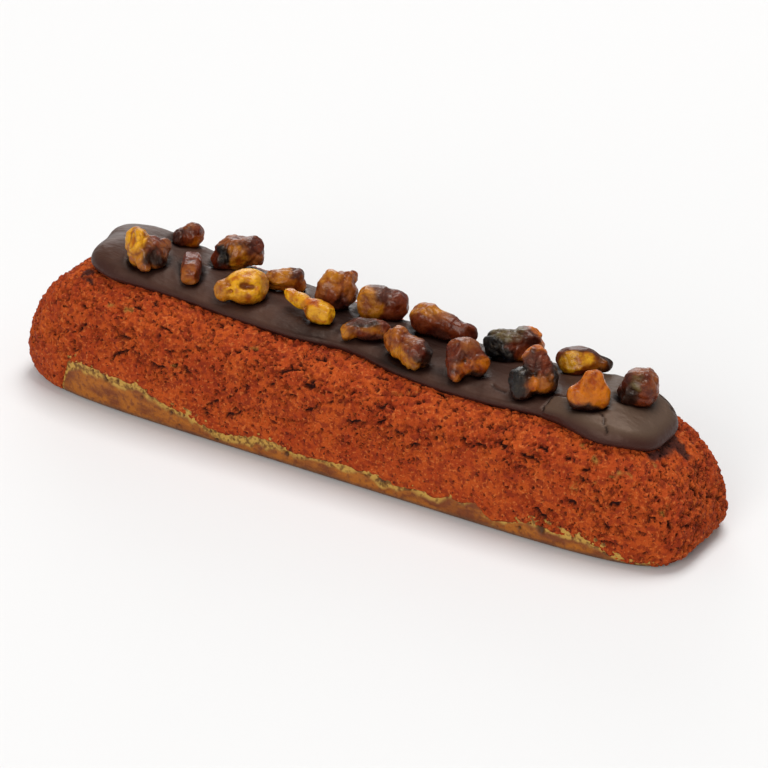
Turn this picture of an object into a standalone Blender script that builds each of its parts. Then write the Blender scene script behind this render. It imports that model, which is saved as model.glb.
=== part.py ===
"""Chocolate eclair: choux bun, cocoa craquelin crust, ganache band and caramelised walnut pieces.

Metres, +Z up, +X along the bun towards its narrower end. The origin is on the table under the
middle of the bun. Every piece is a closed solid and keeps a small gap to its neighbours.
"""
import math

import bmesh
import bpy
from mathutils import Vector

MM = 0.001

# The bun's outer form, over the crust
LENGTH = 150 * MM
HALF_WIDTH = 16.2 * MM        # half the width, half way along
HEIGHT = 25 * MM              # of the crust's top, half way along
PLAN_SQUARENESS = 5.7         # power of the rounded rectangle seen from above
FOOT_WIDTH = 0.99             # width at the table over the widest width
BELLY = 0.54                  # height of the widest place, as a share of the height
CROWN_SQUARENESS = 3.0        # power of the curve from the belly over the top
END_ROUNDING = 20 * MM        # how far the top stops short of the tips
END_FOOT = 0.86
END_BELLY = 0.19
END_SQUARENESS = 1.84
NARROWING = 0.07              # share of the width lost towards +X, over half the length
SLOPE = 0.10                  # share of the height lost towards +X, over half the length
SAG = 1.1 * MM                # dip of the top line about its middle
SAG_MIDDLE = 8 * MM
SAG_REACH = 30 * MM
FOOT_RADIUS = 2.0 * MM        # the underside rounds up this far
FOOT_TUCK = 0.4               # share of a full round that the foot is drawn in
SPINE = 55 * MM               # half the straight middle run, from which the ends fan out

# Layers
CRUST = 1.7 * MM              # thickness of the craquelin
GAP = 0.3 * MM                # kept between touching pieces
CHOUX_INSET = 0.2 * MM        # the choux strip lies this much inside the crust's face
COLUMNS = 68                  # points around the bun
SIDE_ROWS = 9                 # rows of points from the crust's hem to the crown
CUTTER_ROOM = 1 * MM          # how far the crust-shaped cutter reaches past the bun's face
BAND_ROOM = 3 * MM            # how far the cutter under the band reaches into the bun

# The strip of bare choux below the crust's hem, in millimetres. A bulge is (more height, middle,
# half length, power) and a wave is (height, length, start)
STRIP_FRONT = 4.3
STRIP_FRONT_BULGE = (3.6, -50, 12.5, 4)
STRIP_FRONT_WAVE = (0.6, 5.2, 0)
STRIP_FRONT_ENDS = (-65, 63)
STRIP_BACK = 3.9
STRIP_BACK_BULGE = (1.6, 24, 15, 2)
STRIP_BACK_WAVE = (0.8, 6.1, 1)
STRIP_BACK_ENDS = (-63, 60)
STRIP_FADES = (6, 8)          # over these lengths it dies away at -X and +X
STRIP_LEAST = 0.8             # the crust's hem stays this far off the table

# The ganache band
BAND_LEFT = -60.2 * MM        # where the band ends
BAND_RIGHT = 66 * MM
BAND_FRONT = 10.2 * MM        # how far it reaches towards -Y and +Y before it wanders
BAND_BACK = 7.0 * MM
BAND_THICKNESS = 2.3 * MM
BLOB_THICKNESS = 1.2 * MM     # more of it where the band was lifted off, at the +X end
START_THICKNESS = 2.2 * MM    # more of it where the band was begun, at the -X end
BLOB_START = 40 * MM          # where it grows thicker towards +X, and over what length
BLOB_RISE = 14 * MM
START_MIDDLE = -53 * MM       # the middle and half length of the thicker start
START_REACH = 11 * MM
BAND_START_SQUARENESS = 7     # the start is nearly square in plan and the end is rounder
BAND_END_SQUARENESS = 3.8
START_SLANT = 2.6 * MM        # how much further towards -X the start's far corner reaches
SLANT_X = -46 * MM            # where the slant begins towards -X, and over what length
SLANT_X_LENGTH = 11 * MM
SLANT_Y = -3 * MM             # where it begins towards +Y, and over what length
SLANT_Y_LENGTH = 9 * MM
BAND_DEPTH = 1.2 * MM         # the pad starts this far below the crust's face and is cut back
RIM_FROM = -60                # degrees: the rolled edge turns from under the band to its top
RIM_TURN = 150
BAND_COLUMNS = 56
RIM_ROWS = 5                  # rows of points round the band's rolled edge
TOP_ROWS = 3                  # rows of points from the edge to the middle

# How the band's edges wander and spread, in millimetres: bulges and waves as above, and a ramp
# is (more reach, start, length)
EDGE_WAVES = ((0.3, 7.5, 1), (0.2, 3.9, 2))
START_SPREAD_FRONT = (2.1, -57, 7, 2)
START_SPREAD_BACK = (1.0, -56, 12, 2)
WAIST_FRONT = (-2.8, 1, 9, 2)
NOTCH_FRONT = (-1.1, 43.4, 6, 2)
END_SPREAD_FRONT = (3.1, 46.5, 13)
END_SPREAD_BACK = (4.5, 30, 25)

# The walnut pieces
FACING = 33                   # degrees: a piece with no long side is turned to the front corner
NUT_BOTTOM = -1.0             # millimetres: how deep a piece sits in the ganache
NUT_VOXEL = 0.4 * MM
NUT_SHARE = 0.05              # share of the triangles kept on a melted piece

# name, along, across, turn, lumps: each lump is (along, across, up, half length, half width,
# half height, squareness), in millimetres and degrees, with up from the ganache's surface
WALNUTS = (
    ("walnut_01", -46.6, -6.6, FACING, (
        (-1.7, 0.3, 2.9, 2.2, 2.4, 4.1, 2.2), (0.2, -0.4, 2.0, 3.2, 2.8, 2.8, 2.2),
        (-0.2, -2.4, 0.6, 1.4, 1.4, 1.6, 2.0), (1.8, 0.0, 1.4, 2.4, 2.2, 2.2, 2.0),
        (3.7, 1.2, 2.0, 0.9, 1.2, 1.5, 2.0))),
    ("walnut_02", -44.9, 4.9, FACING, (
        (-1.0, 0.0, 1.2, 2.2, 1.8, 1.7, 2.2), (1.0, 0.0, 1.8, 1.9, 1.7, 2.4, 2.6))),
    ("walnut_03", -37.0, -5.0, FACING, (
        (0.0, 0.4, 1.7, 1.9, 4.2, 1.8, 4.0),)),
    ("walnut_04", -32.5, 4.5, FACING, (
        (-0.5, 0.0, 3.0, 3.4, 2.6, 3.2, 2.4), (2.8, 0.3, 3.3, 2.3, 2.4, 2.7, 2.4),
        (-3.4, -0.8, 1.6, 1.9, 1.7, 1.7, 2.2))),
    ("walnut_05", -24.0, -6.0, FACING, (
        (0.8, 0.5, 2.5, 4.3, 3.6, 3.1, 2.2), (-3.7, -0.2, 2.0, 2.0, 2.2, 2.0, 2.0))),
    ("walnut_06", -19.9, 2.1, FACING, (
        (-0.8, 0.0, 1.9, 3.6, 2.0, 1.6, 2.2), (1.8, 0.0, 1.9, 2.2, 2.2, 2.0, 2.8))),
    ("walnut_07", -10.2, -4.2, FACING - 38, (
        (-4.2, 0.0, 3.2, 1.5, 1.4, 1.4, 2.0), (-1.6, 0.0, 2.7, 2.8, 1.6, 1.6, 2.0),
        (2.4, 0.0, 1.9, 2.6, 2.2, 2.1, 2.2), (4.4, 0.2, 1.8, 1.8, 1.8, 1.8, 2.0))),
    ("walnut_08", -7.7, 2.3, FACING, (
        (0.0, 0.2, 3.4, 3.7, 3.0, 3.5, 2.0), (-0.8, 0.3, 5.9, 1.5, 1.4, 1.4, 2.0),
        (2.5, 0.3, 6.1, 1.3, 1.3, 1.4, 2.0), (-2.2, -0.2, 2.4, 2.0, 2.0, 2.2, 2.0))),
    ("walnut_09", 0.9, 5.0, FACING - 12, (
        (-1.7, -0.3, 2.8, 3.0, 2.6, 3.1, 3.6), (1.9, 0.3, 2.4, 3.2, 2.6, 2.5, 3.0))),
    ("walnut_10", 3.2, -4.4, FACING, (
        (-3.5, -0.5, 1.6, 1.5, 1.4, 1.6, 2.0), (1.0, -0.4, 1.9, 3.8, 1.6, 1.8, 2.2),
        (-0.4, 1.0, 1.8, 3.1, 1.5, 1.7, 2.2))),
    ("walnut_11", 14.2, -6.8, FACING - 50, (
        (-2.6, 0.0, 2.7, 2.6, 2.2, 2.6, 2.6), (1.9, 0.0, 2.2, 3.1, 2.4, 2.3, 2.6))),
    ("walnut_12", 14.6, 4.5, FACING - 30, (
        (-3.8, 0.0, 2.8, 3.0, 2.5, 2.8, 2.2), (-3.0, 0.2, 5.0, 1.3, 1.3, 1.0, 2.0),
        (0.6, 0.0, 2.5, 3.8, 2.2, 2.4, 2.2), (5.0, 0.0, 1.9, 2.5, 1.8, 1.9, 2.2))),
    ("walnut_13", 26.0, -5.4, FACING, (
        (-1.5, 0.2, 3.3, 2.3, 2.2, 3.6, 2.2), (0.4, 0.4, 3.3, 2.4, 1.8, 3.2, 2.2),
        (1.9, -0.8, 2.3, 2.7, 1.9, 2.1, 2.2), (-1.8, -2.2, 1.2, 1.8, 1.5, 1.5, 2.0))),
    ("walnut_14", 30.2, 4.7, FACING - 6, (
        (-1.6, 0.0, 2.6, 3.9, 2.6, 2.9, 2.2), (2.6, 0.0, 2.9, 2.8, 2.4, 2.9, 2.6))),
    ("walnut_15", 40.3, -4.8, FACING, (
        (0.4, 0.4, 4.6, 2.2, 2.2, 4.3, 2.2), (-1.8, -0.6, 2.2, 2.7, 2.6, 2.6, 2.2),
        (1.9, -0.2, 2.8, 2.6, 2.6, 2.9, 2.2))),
    ("walnut_16", 43.7, 6.8, FACING - 6, (
        (-0.8, 0.0, 2.3, 4.2, 2.4, 2.7, 2.0), (4.0, 0.0, 1.6, 2.0, 1.2, 1.4, 2.0))),
    ("walnut_17", 51.9, -5.2, FACING, (
        (0.8, 0.0, 3.4, 2.3, 1.9, 3.5, 2.4), (-1.2, -0.6, 1.9, 2.8, 2.0, 2.1, 2.4),
        (1.2, -0.7, 2.1, 2.8, 2.1, 2.3, 2.6))),
    ("walnut_18", 58.8, 1.6, FACING, (
        (0.4, 0.0, 3.0, 3.0, 2.8, 3.1, 2.8), (-2.2, -0.3, 1.8, 1.7, 1.8, 1.9, 2.2))),
)

# Colours, linear: red, green, blue, roughness
CHOUX_LOOK = (0.46, 0.20, 0.045, 0.75)
CRUST_LOOK = (0.32, 0.055, 0.015, 0.9)
GANACHE_LOOK = (0.09, 0.05, 0.038, 0.35)
WALNUT_LOOK = (0.40, 0.14, 0.03, 0.45)


def clear_scene():
    for thing in list(bpy.data.objects):
        bpy.data.objects.remove(thing)


def new_collection(name):
    collection = bpy.data.collections.new(name)
    bpy.context.scene.collection.children.link(collection)
    return collection


def new_material(name, look):
    material = bpy.data.materials.new(name)
    material.use_nodes = True
    shader = material.node_tree.nodes["Principled BSDF"]
    shader.inputs["Base Color"].default_value = (look[0], look[1], look[2], 1)
    shader.inputs["Roughness"].default_value = look[3]
    shader.inputs["Metallic"].default_value = 0
    return material


def new_object(name, mesh, material, collection):
    piece = bpy.data.objects.new(name, mesh)
    mesh.materials.append(material)
    collection.objects.link(piece)
    return piece


def bulge(along, shape):
    """A rounded swelling of (size, middle, half length, power) at a place along the bun."""
    size, middle, reach, power = shape
    return size * math.exp(-(abs(along - middle) / reach) ** power)


def wave(along, shape, shift=0):
    """A gentle wander of (size, length, start)."""
    size, length, start = shape
    return size * math.cos(along / length + start + shift)


def ease(value):
    """Smooth step from 0 to 1."""
    share = min(1, max(0, value))
    return share * share * (3 - 2 * share)


def ramp(along, shape):
    """A rise of (size, start, length)."""
    size, start, length = shape
    return size * ease((along - start) / length)


def swell(level, foot, belly, squareness):
    """Share of the full size at a height level from 0 to 1."""
    if level < belly:
        return 1 - (1 - foot) * ((belly - level) / belly) ** 2
    rise = min(1, (level - belly) / (1 - belly))
    return max(0, 1 - rise ** squareness) ** (1 / squareness)


def outline_size(level):
    """Half length and half width of the bun's outline at a height level."""
    reach = LENGTH / 2 - END_ROUNDING * (1 - swell(level, END_FOOT, END_BELLY, END_SQUARENESS))
    width = HALF_WIDTH * swell(level, FOOT_WIDTH, BELLY, CROWN_SQUARENESS)
    height = level * HEIGHT
    if height < FOOT_RADIUS:
        tuck = FOOT_RADIUS - math.sqrt(FOOT_RADIUS ** 2 - (FOOT_RADIUS - height) ** 2)
        reach -= FOOT_TUCK * tuck
        width -= FOOT_TUCK * tuck
    return reach, width


def top_line(x):
    """Height of the crust's top along the middle of the bun."""
    sag = SAG * math.exp(-((x - SAG_MIDDLE) / SAG_REACH) ** 2)
    return HEIGHT * (1 - SLOPE * x / (LENGTH / 2)) - sag


def solve(too_far, low, high):
    """The place between low and high where too_far turns true."""
    for _ in range(40):
        middle = (low + high) / 2
        if too_far(middle):
            high = middle
        else:
            low = middle
    return low


def around_spine(around, radius):
    """Base point on the spine and outward direction, for a share of the way around.

    The way runs anticlockwise from +X: half a fan, the back, the far fan, the front.
    """
    half_fan = radius * math.pi / 2
    run = 2 * SPINE
    travel = around * (2 * run + 4 * half_fan)
    if travel < half_fan:
        angle = travel / radius
        return SPINE, math.cos(angle), math.sin(angle)
    travel -= half_fan
    if travel < run:
        return SPINE - travel, 0, 1
    travel -= run
    if travel < 2 * half_fan:
        angle = math.pi / 2 + travel / radius
        return -SPINE, math.cos(angle), math.sin(angle)
    travel -= 2 * half_fan
    if travel < run:
        return -SPINE + travel, 0, -1
    angle = -math.pi / 2 + (travel - run) / radius
    return SPINE, math.cos(angle), math.sin(angle)


def bun_point(around, level):
    """Point on the bun's outer form at a share of the way around and a height level."""
    reach, width = outline_size(level)
    base, east, north = around_spine(around, HALF_WIDTH)

    def outside(radius):
        along = abs(base + radius * east) / reach
        across = abs(radius * north) / max(width, 1e-6)
        return along ** PLAN_SQUARENESS + across ** PLAN_SQUARENESS > 1

    radius = solve(outside, 0, 2 * HALF_WIDTH)
    x = base + radius * east
    y = radius * north * (1 - NARROWING * x / (LENGTH / 2))
    return Vector((x, y, level * top_line(x)))


def crown_height(x, y):
    """Height of the crust's top above the table at a place in plan."""
    across = abs(y) / (1 - NARROWING * x / (LENGTH / 2))

    def above(level):
        reach, width = outline_size(level)
        if abs(x) >= reach or width <= 1e-6:
            return True
        return (abs(x) / reach) ** PLAN_SQUARENESS + (across / width) ** PLAN_SQUARENESS > 1

    return solve(above, BELLY / 2, 1) * top_line(x)


def hem_level(point):
    """Height level of the crust's lower hem: a strip of choux shows along both sides."""
    along = point.x / MM
    if point.y < 0:
        strip = STRIP_FRONT + bulge(along, STRIP_FRONT_BULGE) + wave(along, STRIP_FRONT_WAVE)
        start, stop = STRIP_FRONT_ENDS
    else:
        strip = STRIP_BACK + bulge(along, STRIP_BACK_BULGE) + wave(along, STRIP_BACK_WAVE)
        start, stop = STRIP_BACK_ENDS
    fade_in = min(1, max(0, (along - start) / STRIP_FADES[0]))
    fade_out = min(1, max(0, (stop - along) / STRIP_FADES[1]))
    return (STRIP_LEAST + (strip - STRIP_LEAST) * fade_in * fade_out) * MM / HEIGHT


def side_lengths():
    """Length along the section from the table up to each height level, in even steps."""
    steps = 400
    lengths = [0.0]
    last = outline_size(0)[1]
    for step in range(1, steps + 1):
        width = outline_size(step / steps)[1]
        lengths.append(lengths[-1] + math.hypot(width - last, HEIGHT / steps))
        last = width
    return lengths


def level_at(share, lengths):
    """Height level at a share of the section's length."""
    wanted = share * lengths[-1]
    step = next(index for index, length in enumerate(lengths) if length >= wanted)
    return step / (len(lengths) - 1)


def wrap_sphere(columns, rows, place):
    """A UV sphere with each vertex moved to place(share around, row), row 0 at the bottom."""
    shape = bmesh.new()
    bmesh.ops.create_uvsphere(shape, u_segments=columns, v_segments=rows, radius=1)
    for vertex in shape.verts:
        around = (math.atan2(vertex.co.y, vertex.co.x) / math.tau) % 1
        row = round((1 - math.acos(max(-1, min(1, vertex.co.z))) / math.pi) * rows)
        vertex.co = place(around, row)
    bmesh.ops.recalc_face_normals(shape, faces=shape.faces)
    return shape


def finish_mesh(shape, name):
    mesh = bpy.data.meshes.new(name)
    shape.to_mesh(mesh)
    shape.free()
    mesh.shade_smooth()
    return mesh


def section_share(level, lengths):
    """The share of the section's length at a height level."""
    return lengths[round(level * (len(lengths) - 1))] / lengths[-1]


def make_skin(name, drop, thickness, offset):
    """The bun's outer face from its hem up, as an open skin with a thickness."""
    lengths = side_lengths()
    rows = SIDE_ROWS + 1

    def place(around, row):
        if row == 0:
            return Vector((0, 0, 0))
        if row == rows:
            return Vector((0, 0, HEIGHT))
        hem = hem_level(bun_point(around, 0)) - drop / HEIGHT
        start = section_share(hem, lengths)
        share = start + (1 - start) * (row - 1) / SIDE_ROWS
        level = hem if row == 1 else level_at(share, lengths)
        return bun_point(around, level)

    shape = wrap_sphere(COLUMNS, rows, place)
    under = min(shape.verts, key=lambda vertex: vertex.co.length)
    bmesh.ops.delete(shape, geom=[under], context="VERTS")
    piece = bpy.data.objects.new(name, finish_mesh(shape, name))
    skin = piece.modifiers.new("thickness", "SOLIDIFY")
    skin.thickness = thickness
    skin.offset = offset
    return piece


def make_craquelin(material, collection):
    """The crust: a skin thickened inwards from the bun's outer face."""
    piece = make_skin("craquelin", 0, CRUST, -1)
    piece.data.materials.append(material)
    collection.objects.link(piece)
    return piece


def make_choux(material, collection, cutters):
    """The bun: full width below the crust's hem, and cut back to a core under the crust."""
    lengths = side_lengths()
    rows = SIDE_ROWS + 2

    def place(around, row):
        if row == 0:
            return Vector((0, 0, 0))
        if row == rows:
            return Vector((0, 0, HEIGHT))
        share = (row - 1) / (rows - 1)
        point = bun_point(around, 0 if row == 1 else level_at(share, lengths))
        base = max(-SPINE, min(SPINE, point.x))
        inwards = Vector((base - point.x, -point.y, 0)).normalized()
        return point + inwards * CHOUX_INSET

    thickness = CRUST + GAP + CUTTER_ROOM
    cutter = make_skin("crust_room", GAP, thickness, 2 * CUTTER_ROOM / thickness - 1)
    cutters.objects.link(cutter)
    hide_cutter(cutter)
    shape = wrap_sphere(COLUMNS, rows, place)
    piece = new_object("choux", finish_mesh(shape, "choux"), material, collection)
    cut = piece.modifiers.new("crust room", "BOOLEAN")
    cut.operation = "DIFFERENCE"
    cut.object = cutter
    return piece


def band_half_width(x, side):
    """Reach of the band on one side: its edges wander, and it spreads at both ends."""
    along = x / MM
    wander = sum(wave(along, shape, side * shape[2]) for shape in EDGE_WAVES)
    if side < 0:
        spread = bulge(along, START_SPREAD_FRONT) + ramp(along, END_SPREAD_FRONT)
        narrow = bulge(along, WAIST_FRONT) + bulge(along, NOTCH_FRONT)
        return BAND_FRONT + (spread + narrow + wander) * MM
    spread = bulge(along, START_SPREAD_BACK) + ramp(along, END_SPREAD_BACK)
    return BAND_BACK + (spread + wander) * MM


def band_thickness(x):
    blob = BLOB_THICKNESS * ease((x - BLOB_START) / BLOB_RISE)
    start = START_THICKNESS * math.exp(-((x - START_MIDDLE) / START_REACH) ** 2)
    return BAND_THICKNESS + blob + start


def band_point(around, inset):
    """Place in plan on the band's outline, drawn in by an inset."""
    middle = (BAND_LEFT + BAND_RIGHT) / 2
    reach = (BAND_RIGHT - BAND_LEFT) / 2 - inset
    base, east, north = around_spine(around, BAND_FRONT)
    width = max(band_half_width(middle + base, math.copysign(1, north)) - inset, 0.05 * MM)
    squareness = BAND_START_SQUARENESS if base + east * MM < 0 else BAND_END_SQUARENESS

    def outside(radius):
        along = abs(base + radius * east) / reach
        across = abs(radius * north) / width
        return along ** squareness + across ** squareness > 1

    radius = solve(outside, 0, 2 * BAND_FRONT)
    x, y = middle + base + radius * east, radius * north
    slant = ease((SLANT_X - x) / SLANT_X_LENGTH) * ease((y - SLANT_Y) / SLANT_Y_LENGTH)
    return x - START_SLANT * slant, y


def band_top(x, y):
    """Height of the band's upper face above the table."""
    return crown_height(x, y) + band_thickness(x)


def make_ganache(material, collection, cutters, sockets):
    """The band: a pad with a rolled edge, cut to lie on the crust and to hold the walnuts."""
    rows = 2 + RIM_ROWS + TOP_ROWS
    middle = (BAND_LEFT + BAND_RIGHT) / 2

    def place(around, row):
        if row == 0:
            return Vector((middle, 0, crown_height(middle, 0) - BAND_DEPTH))
        if row == rows:
            return Vector((middle, 0, band_top(middle, 0)))
        if row <= RIM_ROWS + 1:
            thick = band_thickness(band_point(around, 0)[0]) / 2
            angle = math.radians(RIM_FROM + RIM_TURN * (row - 1) / RIM_ROWS)
            x, y = band_point(around, thick * (1 - math.cos(angle)))
            lift = thick * (1 + math.sin(angle)) if row > 1 else -BAND_DEPTH
            return Vector((x, y, crown_height(x, y) + lift))
        thick = band_thickness(band_point(around, 0)[0]) / 2
        share = (row - RIM_ROWS - 1) / (TOP_ROWS + 1)
        x, y = band_point(around, thick + (BAND_BACK - thick) * share)
        return Vector((x, y, band_top(x, y)))

    thickness = BAND_ROOM + GAP
    cutter = make_skin("band_room", 0, thickness, 2 * GAP / thickness - 1)
    cutters.objects.link(cutter)
    hide_cutter(cutter)
    shape = wrap_sphere(BAND_COLUMNS, rows, place)
    piece = new_object("ganache", finish_mesh(shape, "ganache"), material, collection)
    seat = piece.modifiers.new("seat on crust", "BOOLEAN")
    seat.operation = "DIFFERENCE"
    seat.object = cutter
    cut = piece.modifiers.new("sockets", "BOOLEAN")
    cut.operation = "DIFFERENCE"
    cut.operand_type = "COLLECTION"
    cut.collection = sockets
    return piece


def lump(shape, lump_sizes):
    """Add one rounded lump, squarer for a higher last value, with a flat underside."""
    along, across, up, length, width, height, squareness = lump_sizes
    made = bmesh.ops.create_icosphere(shape, subdivisions=3, radius=1)
    for vertex in made["verts"]:
        powers = [abs(part) ** squareness for part in vertex.co]
        square = vertex.co / sum(powers) ** (1 / squareness)
        vertex.co.x = along + square.x * length
        vertex.co.y = across + square.y * width
        vertex.co.z = max(up + square.z * height, NUT_BOTTOM)


def make_walnut(walnut, material, collection, sockets):
    """A chopped kernel piece: rounded lumps melted into one, with its socket's cutter."""
    name, along, across, turn, lumps = walnut
    shape = bmesh.new()
    for lump_sizes in lumps:
        lump(shape, lump_sizes)
    bmesh.ops.scale(shape, vec=(MM, MM, MM), verts=shape.verts)
    piece = new_object(name, finish_mesh(shape, name), material, collection)
    place = Vector((along * MM, across * MM, band_top(along * MM, across * MM)))
    socket = bpy.data.objects.new(name + "_socket", piece.data)
    sockets.objects.link(socket)
    hide_cutter(socket)
    for thing in (piece, socket):
        thing.location = place
        thing.rotation_euler.z = math.radians(turn)
        melt = thing.modifiers.new("melt", "REMESH")
        melt.mode = "VOXEL"
        melt.voxel_size = NUT_VOXEL
        thin = thing.modifiers.new("thin out", "DECIMATE")
        thin.ratio = NUT_SHARE
    room = socket.modifiers.new("room", "DISPLACE")
    room.strength = GAP
    room.mid_level = 0
    return piece


def hide_cutter(cutter):
    cutter.hide_render = True
    cutter.display_type = "WIRE"


def main():
    clear_scene()
    eclair = new_collection("chocolate_eclair")
    cutters = new_collection("cutters")
    sockets = new_collection("sockets")
    make_choux(new_material("choux", CHOUX_LOOK), eclair, cutters)
    make_craquelin(new_material("craquelin", CRUST_LOOK), eclair)
    make_ganache(new_material("ganache", GANACHE_LOOK), eclair, cutters, sockets)
    walnut = new_material("walnut", WALNUT_LOOK)
    for details in WALNUTS:
        make_walnut(details, walnut, eclair, sockets)


main()
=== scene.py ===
# %% [markdown]
# # A chocolate eclair
#
# We finish an eclair: a choux bun under a crumbly cocoa crust, which bakers call craquelin, with a
# band of ganache along the top and caramelised walnut pieces set in it. A plain imported model of it
# already exists, and it fixes where each piece is and how large it may be. This lesson gives every
# piece the fine shape and the finish that the plain model lacks.
#
# The first cell loads that model as a frame, keeps its box, and prints its size.

# %% Load the frame
import itertools
import math

import bpy
import numpy as np
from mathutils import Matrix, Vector
from mathutils.bvhtree import BVHTree


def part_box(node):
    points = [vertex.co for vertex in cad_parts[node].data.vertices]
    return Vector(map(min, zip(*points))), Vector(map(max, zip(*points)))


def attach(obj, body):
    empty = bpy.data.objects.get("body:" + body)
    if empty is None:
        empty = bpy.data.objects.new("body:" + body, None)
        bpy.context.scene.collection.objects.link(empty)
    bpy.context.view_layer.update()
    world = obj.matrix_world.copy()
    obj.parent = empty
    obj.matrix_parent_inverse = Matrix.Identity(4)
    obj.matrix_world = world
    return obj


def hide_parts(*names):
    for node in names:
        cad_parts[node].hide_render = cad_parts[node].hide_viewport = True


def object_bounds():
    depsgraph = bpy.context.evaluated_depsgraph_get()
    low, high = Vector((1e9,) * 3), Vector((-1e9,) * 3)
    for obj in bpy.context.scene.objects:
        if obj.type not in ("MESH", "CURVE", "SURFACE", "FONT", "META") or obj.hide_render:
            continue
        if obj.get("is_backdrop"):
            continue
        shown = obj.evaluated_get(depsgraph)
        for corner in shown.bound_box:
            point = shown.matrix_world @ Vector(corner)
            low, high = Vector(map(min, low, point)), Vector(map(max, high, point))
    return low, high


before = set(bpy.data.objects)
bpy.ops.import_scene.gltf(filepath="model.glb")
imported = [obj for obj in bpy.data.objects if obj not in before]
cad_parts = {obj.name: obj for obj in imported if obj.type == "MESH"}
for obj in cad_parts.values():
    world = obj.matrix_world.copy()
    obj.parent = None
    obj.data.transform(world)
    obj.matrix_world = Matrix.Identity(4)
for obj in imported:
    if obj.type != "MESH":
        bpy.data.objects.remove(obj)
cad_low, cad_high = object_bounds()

MM = 0.001
print("frame box in mm:", [round(side / MM, 1) for side in cad_high - cad_low])

# %% [markdown]
# ## Noise that we can count on
#
# Food is uneven, and the same unevenness has to come out each time the lesson runs. So we make our
# own random numbers from whole-numbered places in space: the same place always gives the same
# number. Two tools grow from that. `soft_noise` is a smooth landscape of bumps. `scatter` strews
# seeds through space and tells how far the nearest two are, which is how pits and crumbs are
# made: a pit is a place close to a seed, and a crack is a place as far from one seed as another.
# `smooth_step` and `bulge` are two plain curves, a rise and a hump, which shape everything else.

# %% Noise tools
FAR = 9.0                     # more than any distance that matters here
# large odd numbers stir a place's digits until nothing regular is left of them
STIR = (73856093, 19349663, 83492791)
STIR_ONCE, STIR_AGAIN = 1274126177, 668265263
SEED_STEP, SEED_START = 40503, 977
KEPT_BITS = 0xFFFFFF


def place_number(cells, seed):
    """A random number from 0 to 1 for each whole-numbered place."""
    x, y, z = (cells[..., axis].astype(np.int64) * STIR[axis] for axis in range(3))
    mixed = x ^ y ^ z ^ (seed * SEED_STEP + SEED_START)
    mixed = (mixed ^ (mixed >> 13)) * STIR_ONCE
    mixed = (mixed ^ (mixed >> 15)) * STIR_AGAIN
    return ((mixed ^ (mixed >> 16)) & KEPT_BITS) / KEPT_BITS


def smooth_step(value, start=0.0, stop=1.0):
    """0 before start, 1 after stop, and a smooth rise between."""
    share = np.clip((value - start) / (stop - start), 0, 1)
    return share * share * (3 - 2 * share)


def bulge(along, size, middle, reach):
    """A smooth hump of a size around a middle, which fades out over a reach."""
    return size * np.exp(-((along - middle) / reach) ** 2)


def soft_noise(points, size, seed):
    """A landscape from -1 to 1 with bumps about one size apart."""
    places = points / size
    corner = np.floor(places)
    share = smooth_step(places - corner)
    total = np.zeros(points.shape[:-1])
    for step in itertools.product((0, 1), repeat=3):
        weight = np.prod(np.where(step, share, 1 - share), axis=-1)
        total += weight * place_number(corner + step, seed)
    return 2 * total - 1


def scatter(points, size, seed):
    """Distances to the nearest and next seed, and the nearest seed's own number."""
    places = points / size
    home = np.floor(places)
    nearest = np.full(points.shape[:-1], FAR)
    following = nearest.copy()
    mark = np.zeros(points.shape[:-1])
    for step in itertools.product((-1, 0, 1), repeat=3):
        cell = home + step
        seeds = cell + np.stack([place_number(cell, seed + axis) for axis in range(3)], -1)
        distance = np.linalg.norm(seeds - places, axis=-1)
        closer = distance < nearest
        following = np.where(closer, nearest, np.minimum(following, distance))
        mark = np.where(closer, place_number(cell, seed + 5), mark)
        nearest = np.minimum(nearest, distance)
    return nearest, following, mark


print("the same numbers each time:", place_number(np.array([(1, 2, 3), (1, 2, 4)]), 0).round(3))

# %% [markdown]
# ## The bun's form
#
# An eclair is piped as one straight rope of dough, and it bakes into a rounded loaf. Seen from
# above it is a rounded rectangle, which a superellipse describes with one number for how square it
# is. Each height level has its own, narrower near the table and closing to a line at the crown. We
# work in millimetres here, because that is how one thinks about a cake.

# %% The loaf's sizes
LENGTH = (cad_high.x - cad_low.x) / MM
HALF_WIDTH = 16.2             # half way along
HEIGHT = 25.0                 # of the crown, half way along
PLAN_SQUARENESS = 5.7         # 2 would be an ellipse
FOOT_WIDTH, BELLY, CROWN_SQUARENESS = 0.99, 0.54, 3.0       # the section half way along
END_ROUNDING = 20.0           # the crown stops this far short of the tips
END_FOOT, END_BELLY, END_SQUARENESS = 0.86, 0.19, 1.84      # the same, at the tips
NARROWING, SLOPE = 0.07, 0.10                               # shares lost towards the low end
SAG, SAG_MIDDLE, SAG_REACH = 1.1, 8.0, 30.0                 # the crown's dip
FOOT_RADIUS, FOOT_TUCK = 2.0, 0.4                           # the turn under to the base
SPINE = 55.0                  # half the straight middle run
print("the loaf in mm:", round(LENGTH, 1), "long,", 2 * HALF_WIDTH, "wide,", HEIGHT, "high")

# %% [markdown]
# The loaf's half length and half width change with the height level: they swell from the foot to
# the belly and close in towards the crown. The crown itself slopes down to the low end, and it
# sags a little near the middle.

# %% The loaf's section and crown
def swell(level, foot, belly, squareness):
    """Share of the full size at a height level."""
    below = 1 - (1 - foot) * ((belly - level) / belly) ** 2
    rise = np.clip((level - belly) / (1 - belly), 0, 1)
    return np.where(level < belly, below, (1 - rise ** squareness) ** (1 / squareness))


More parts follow.
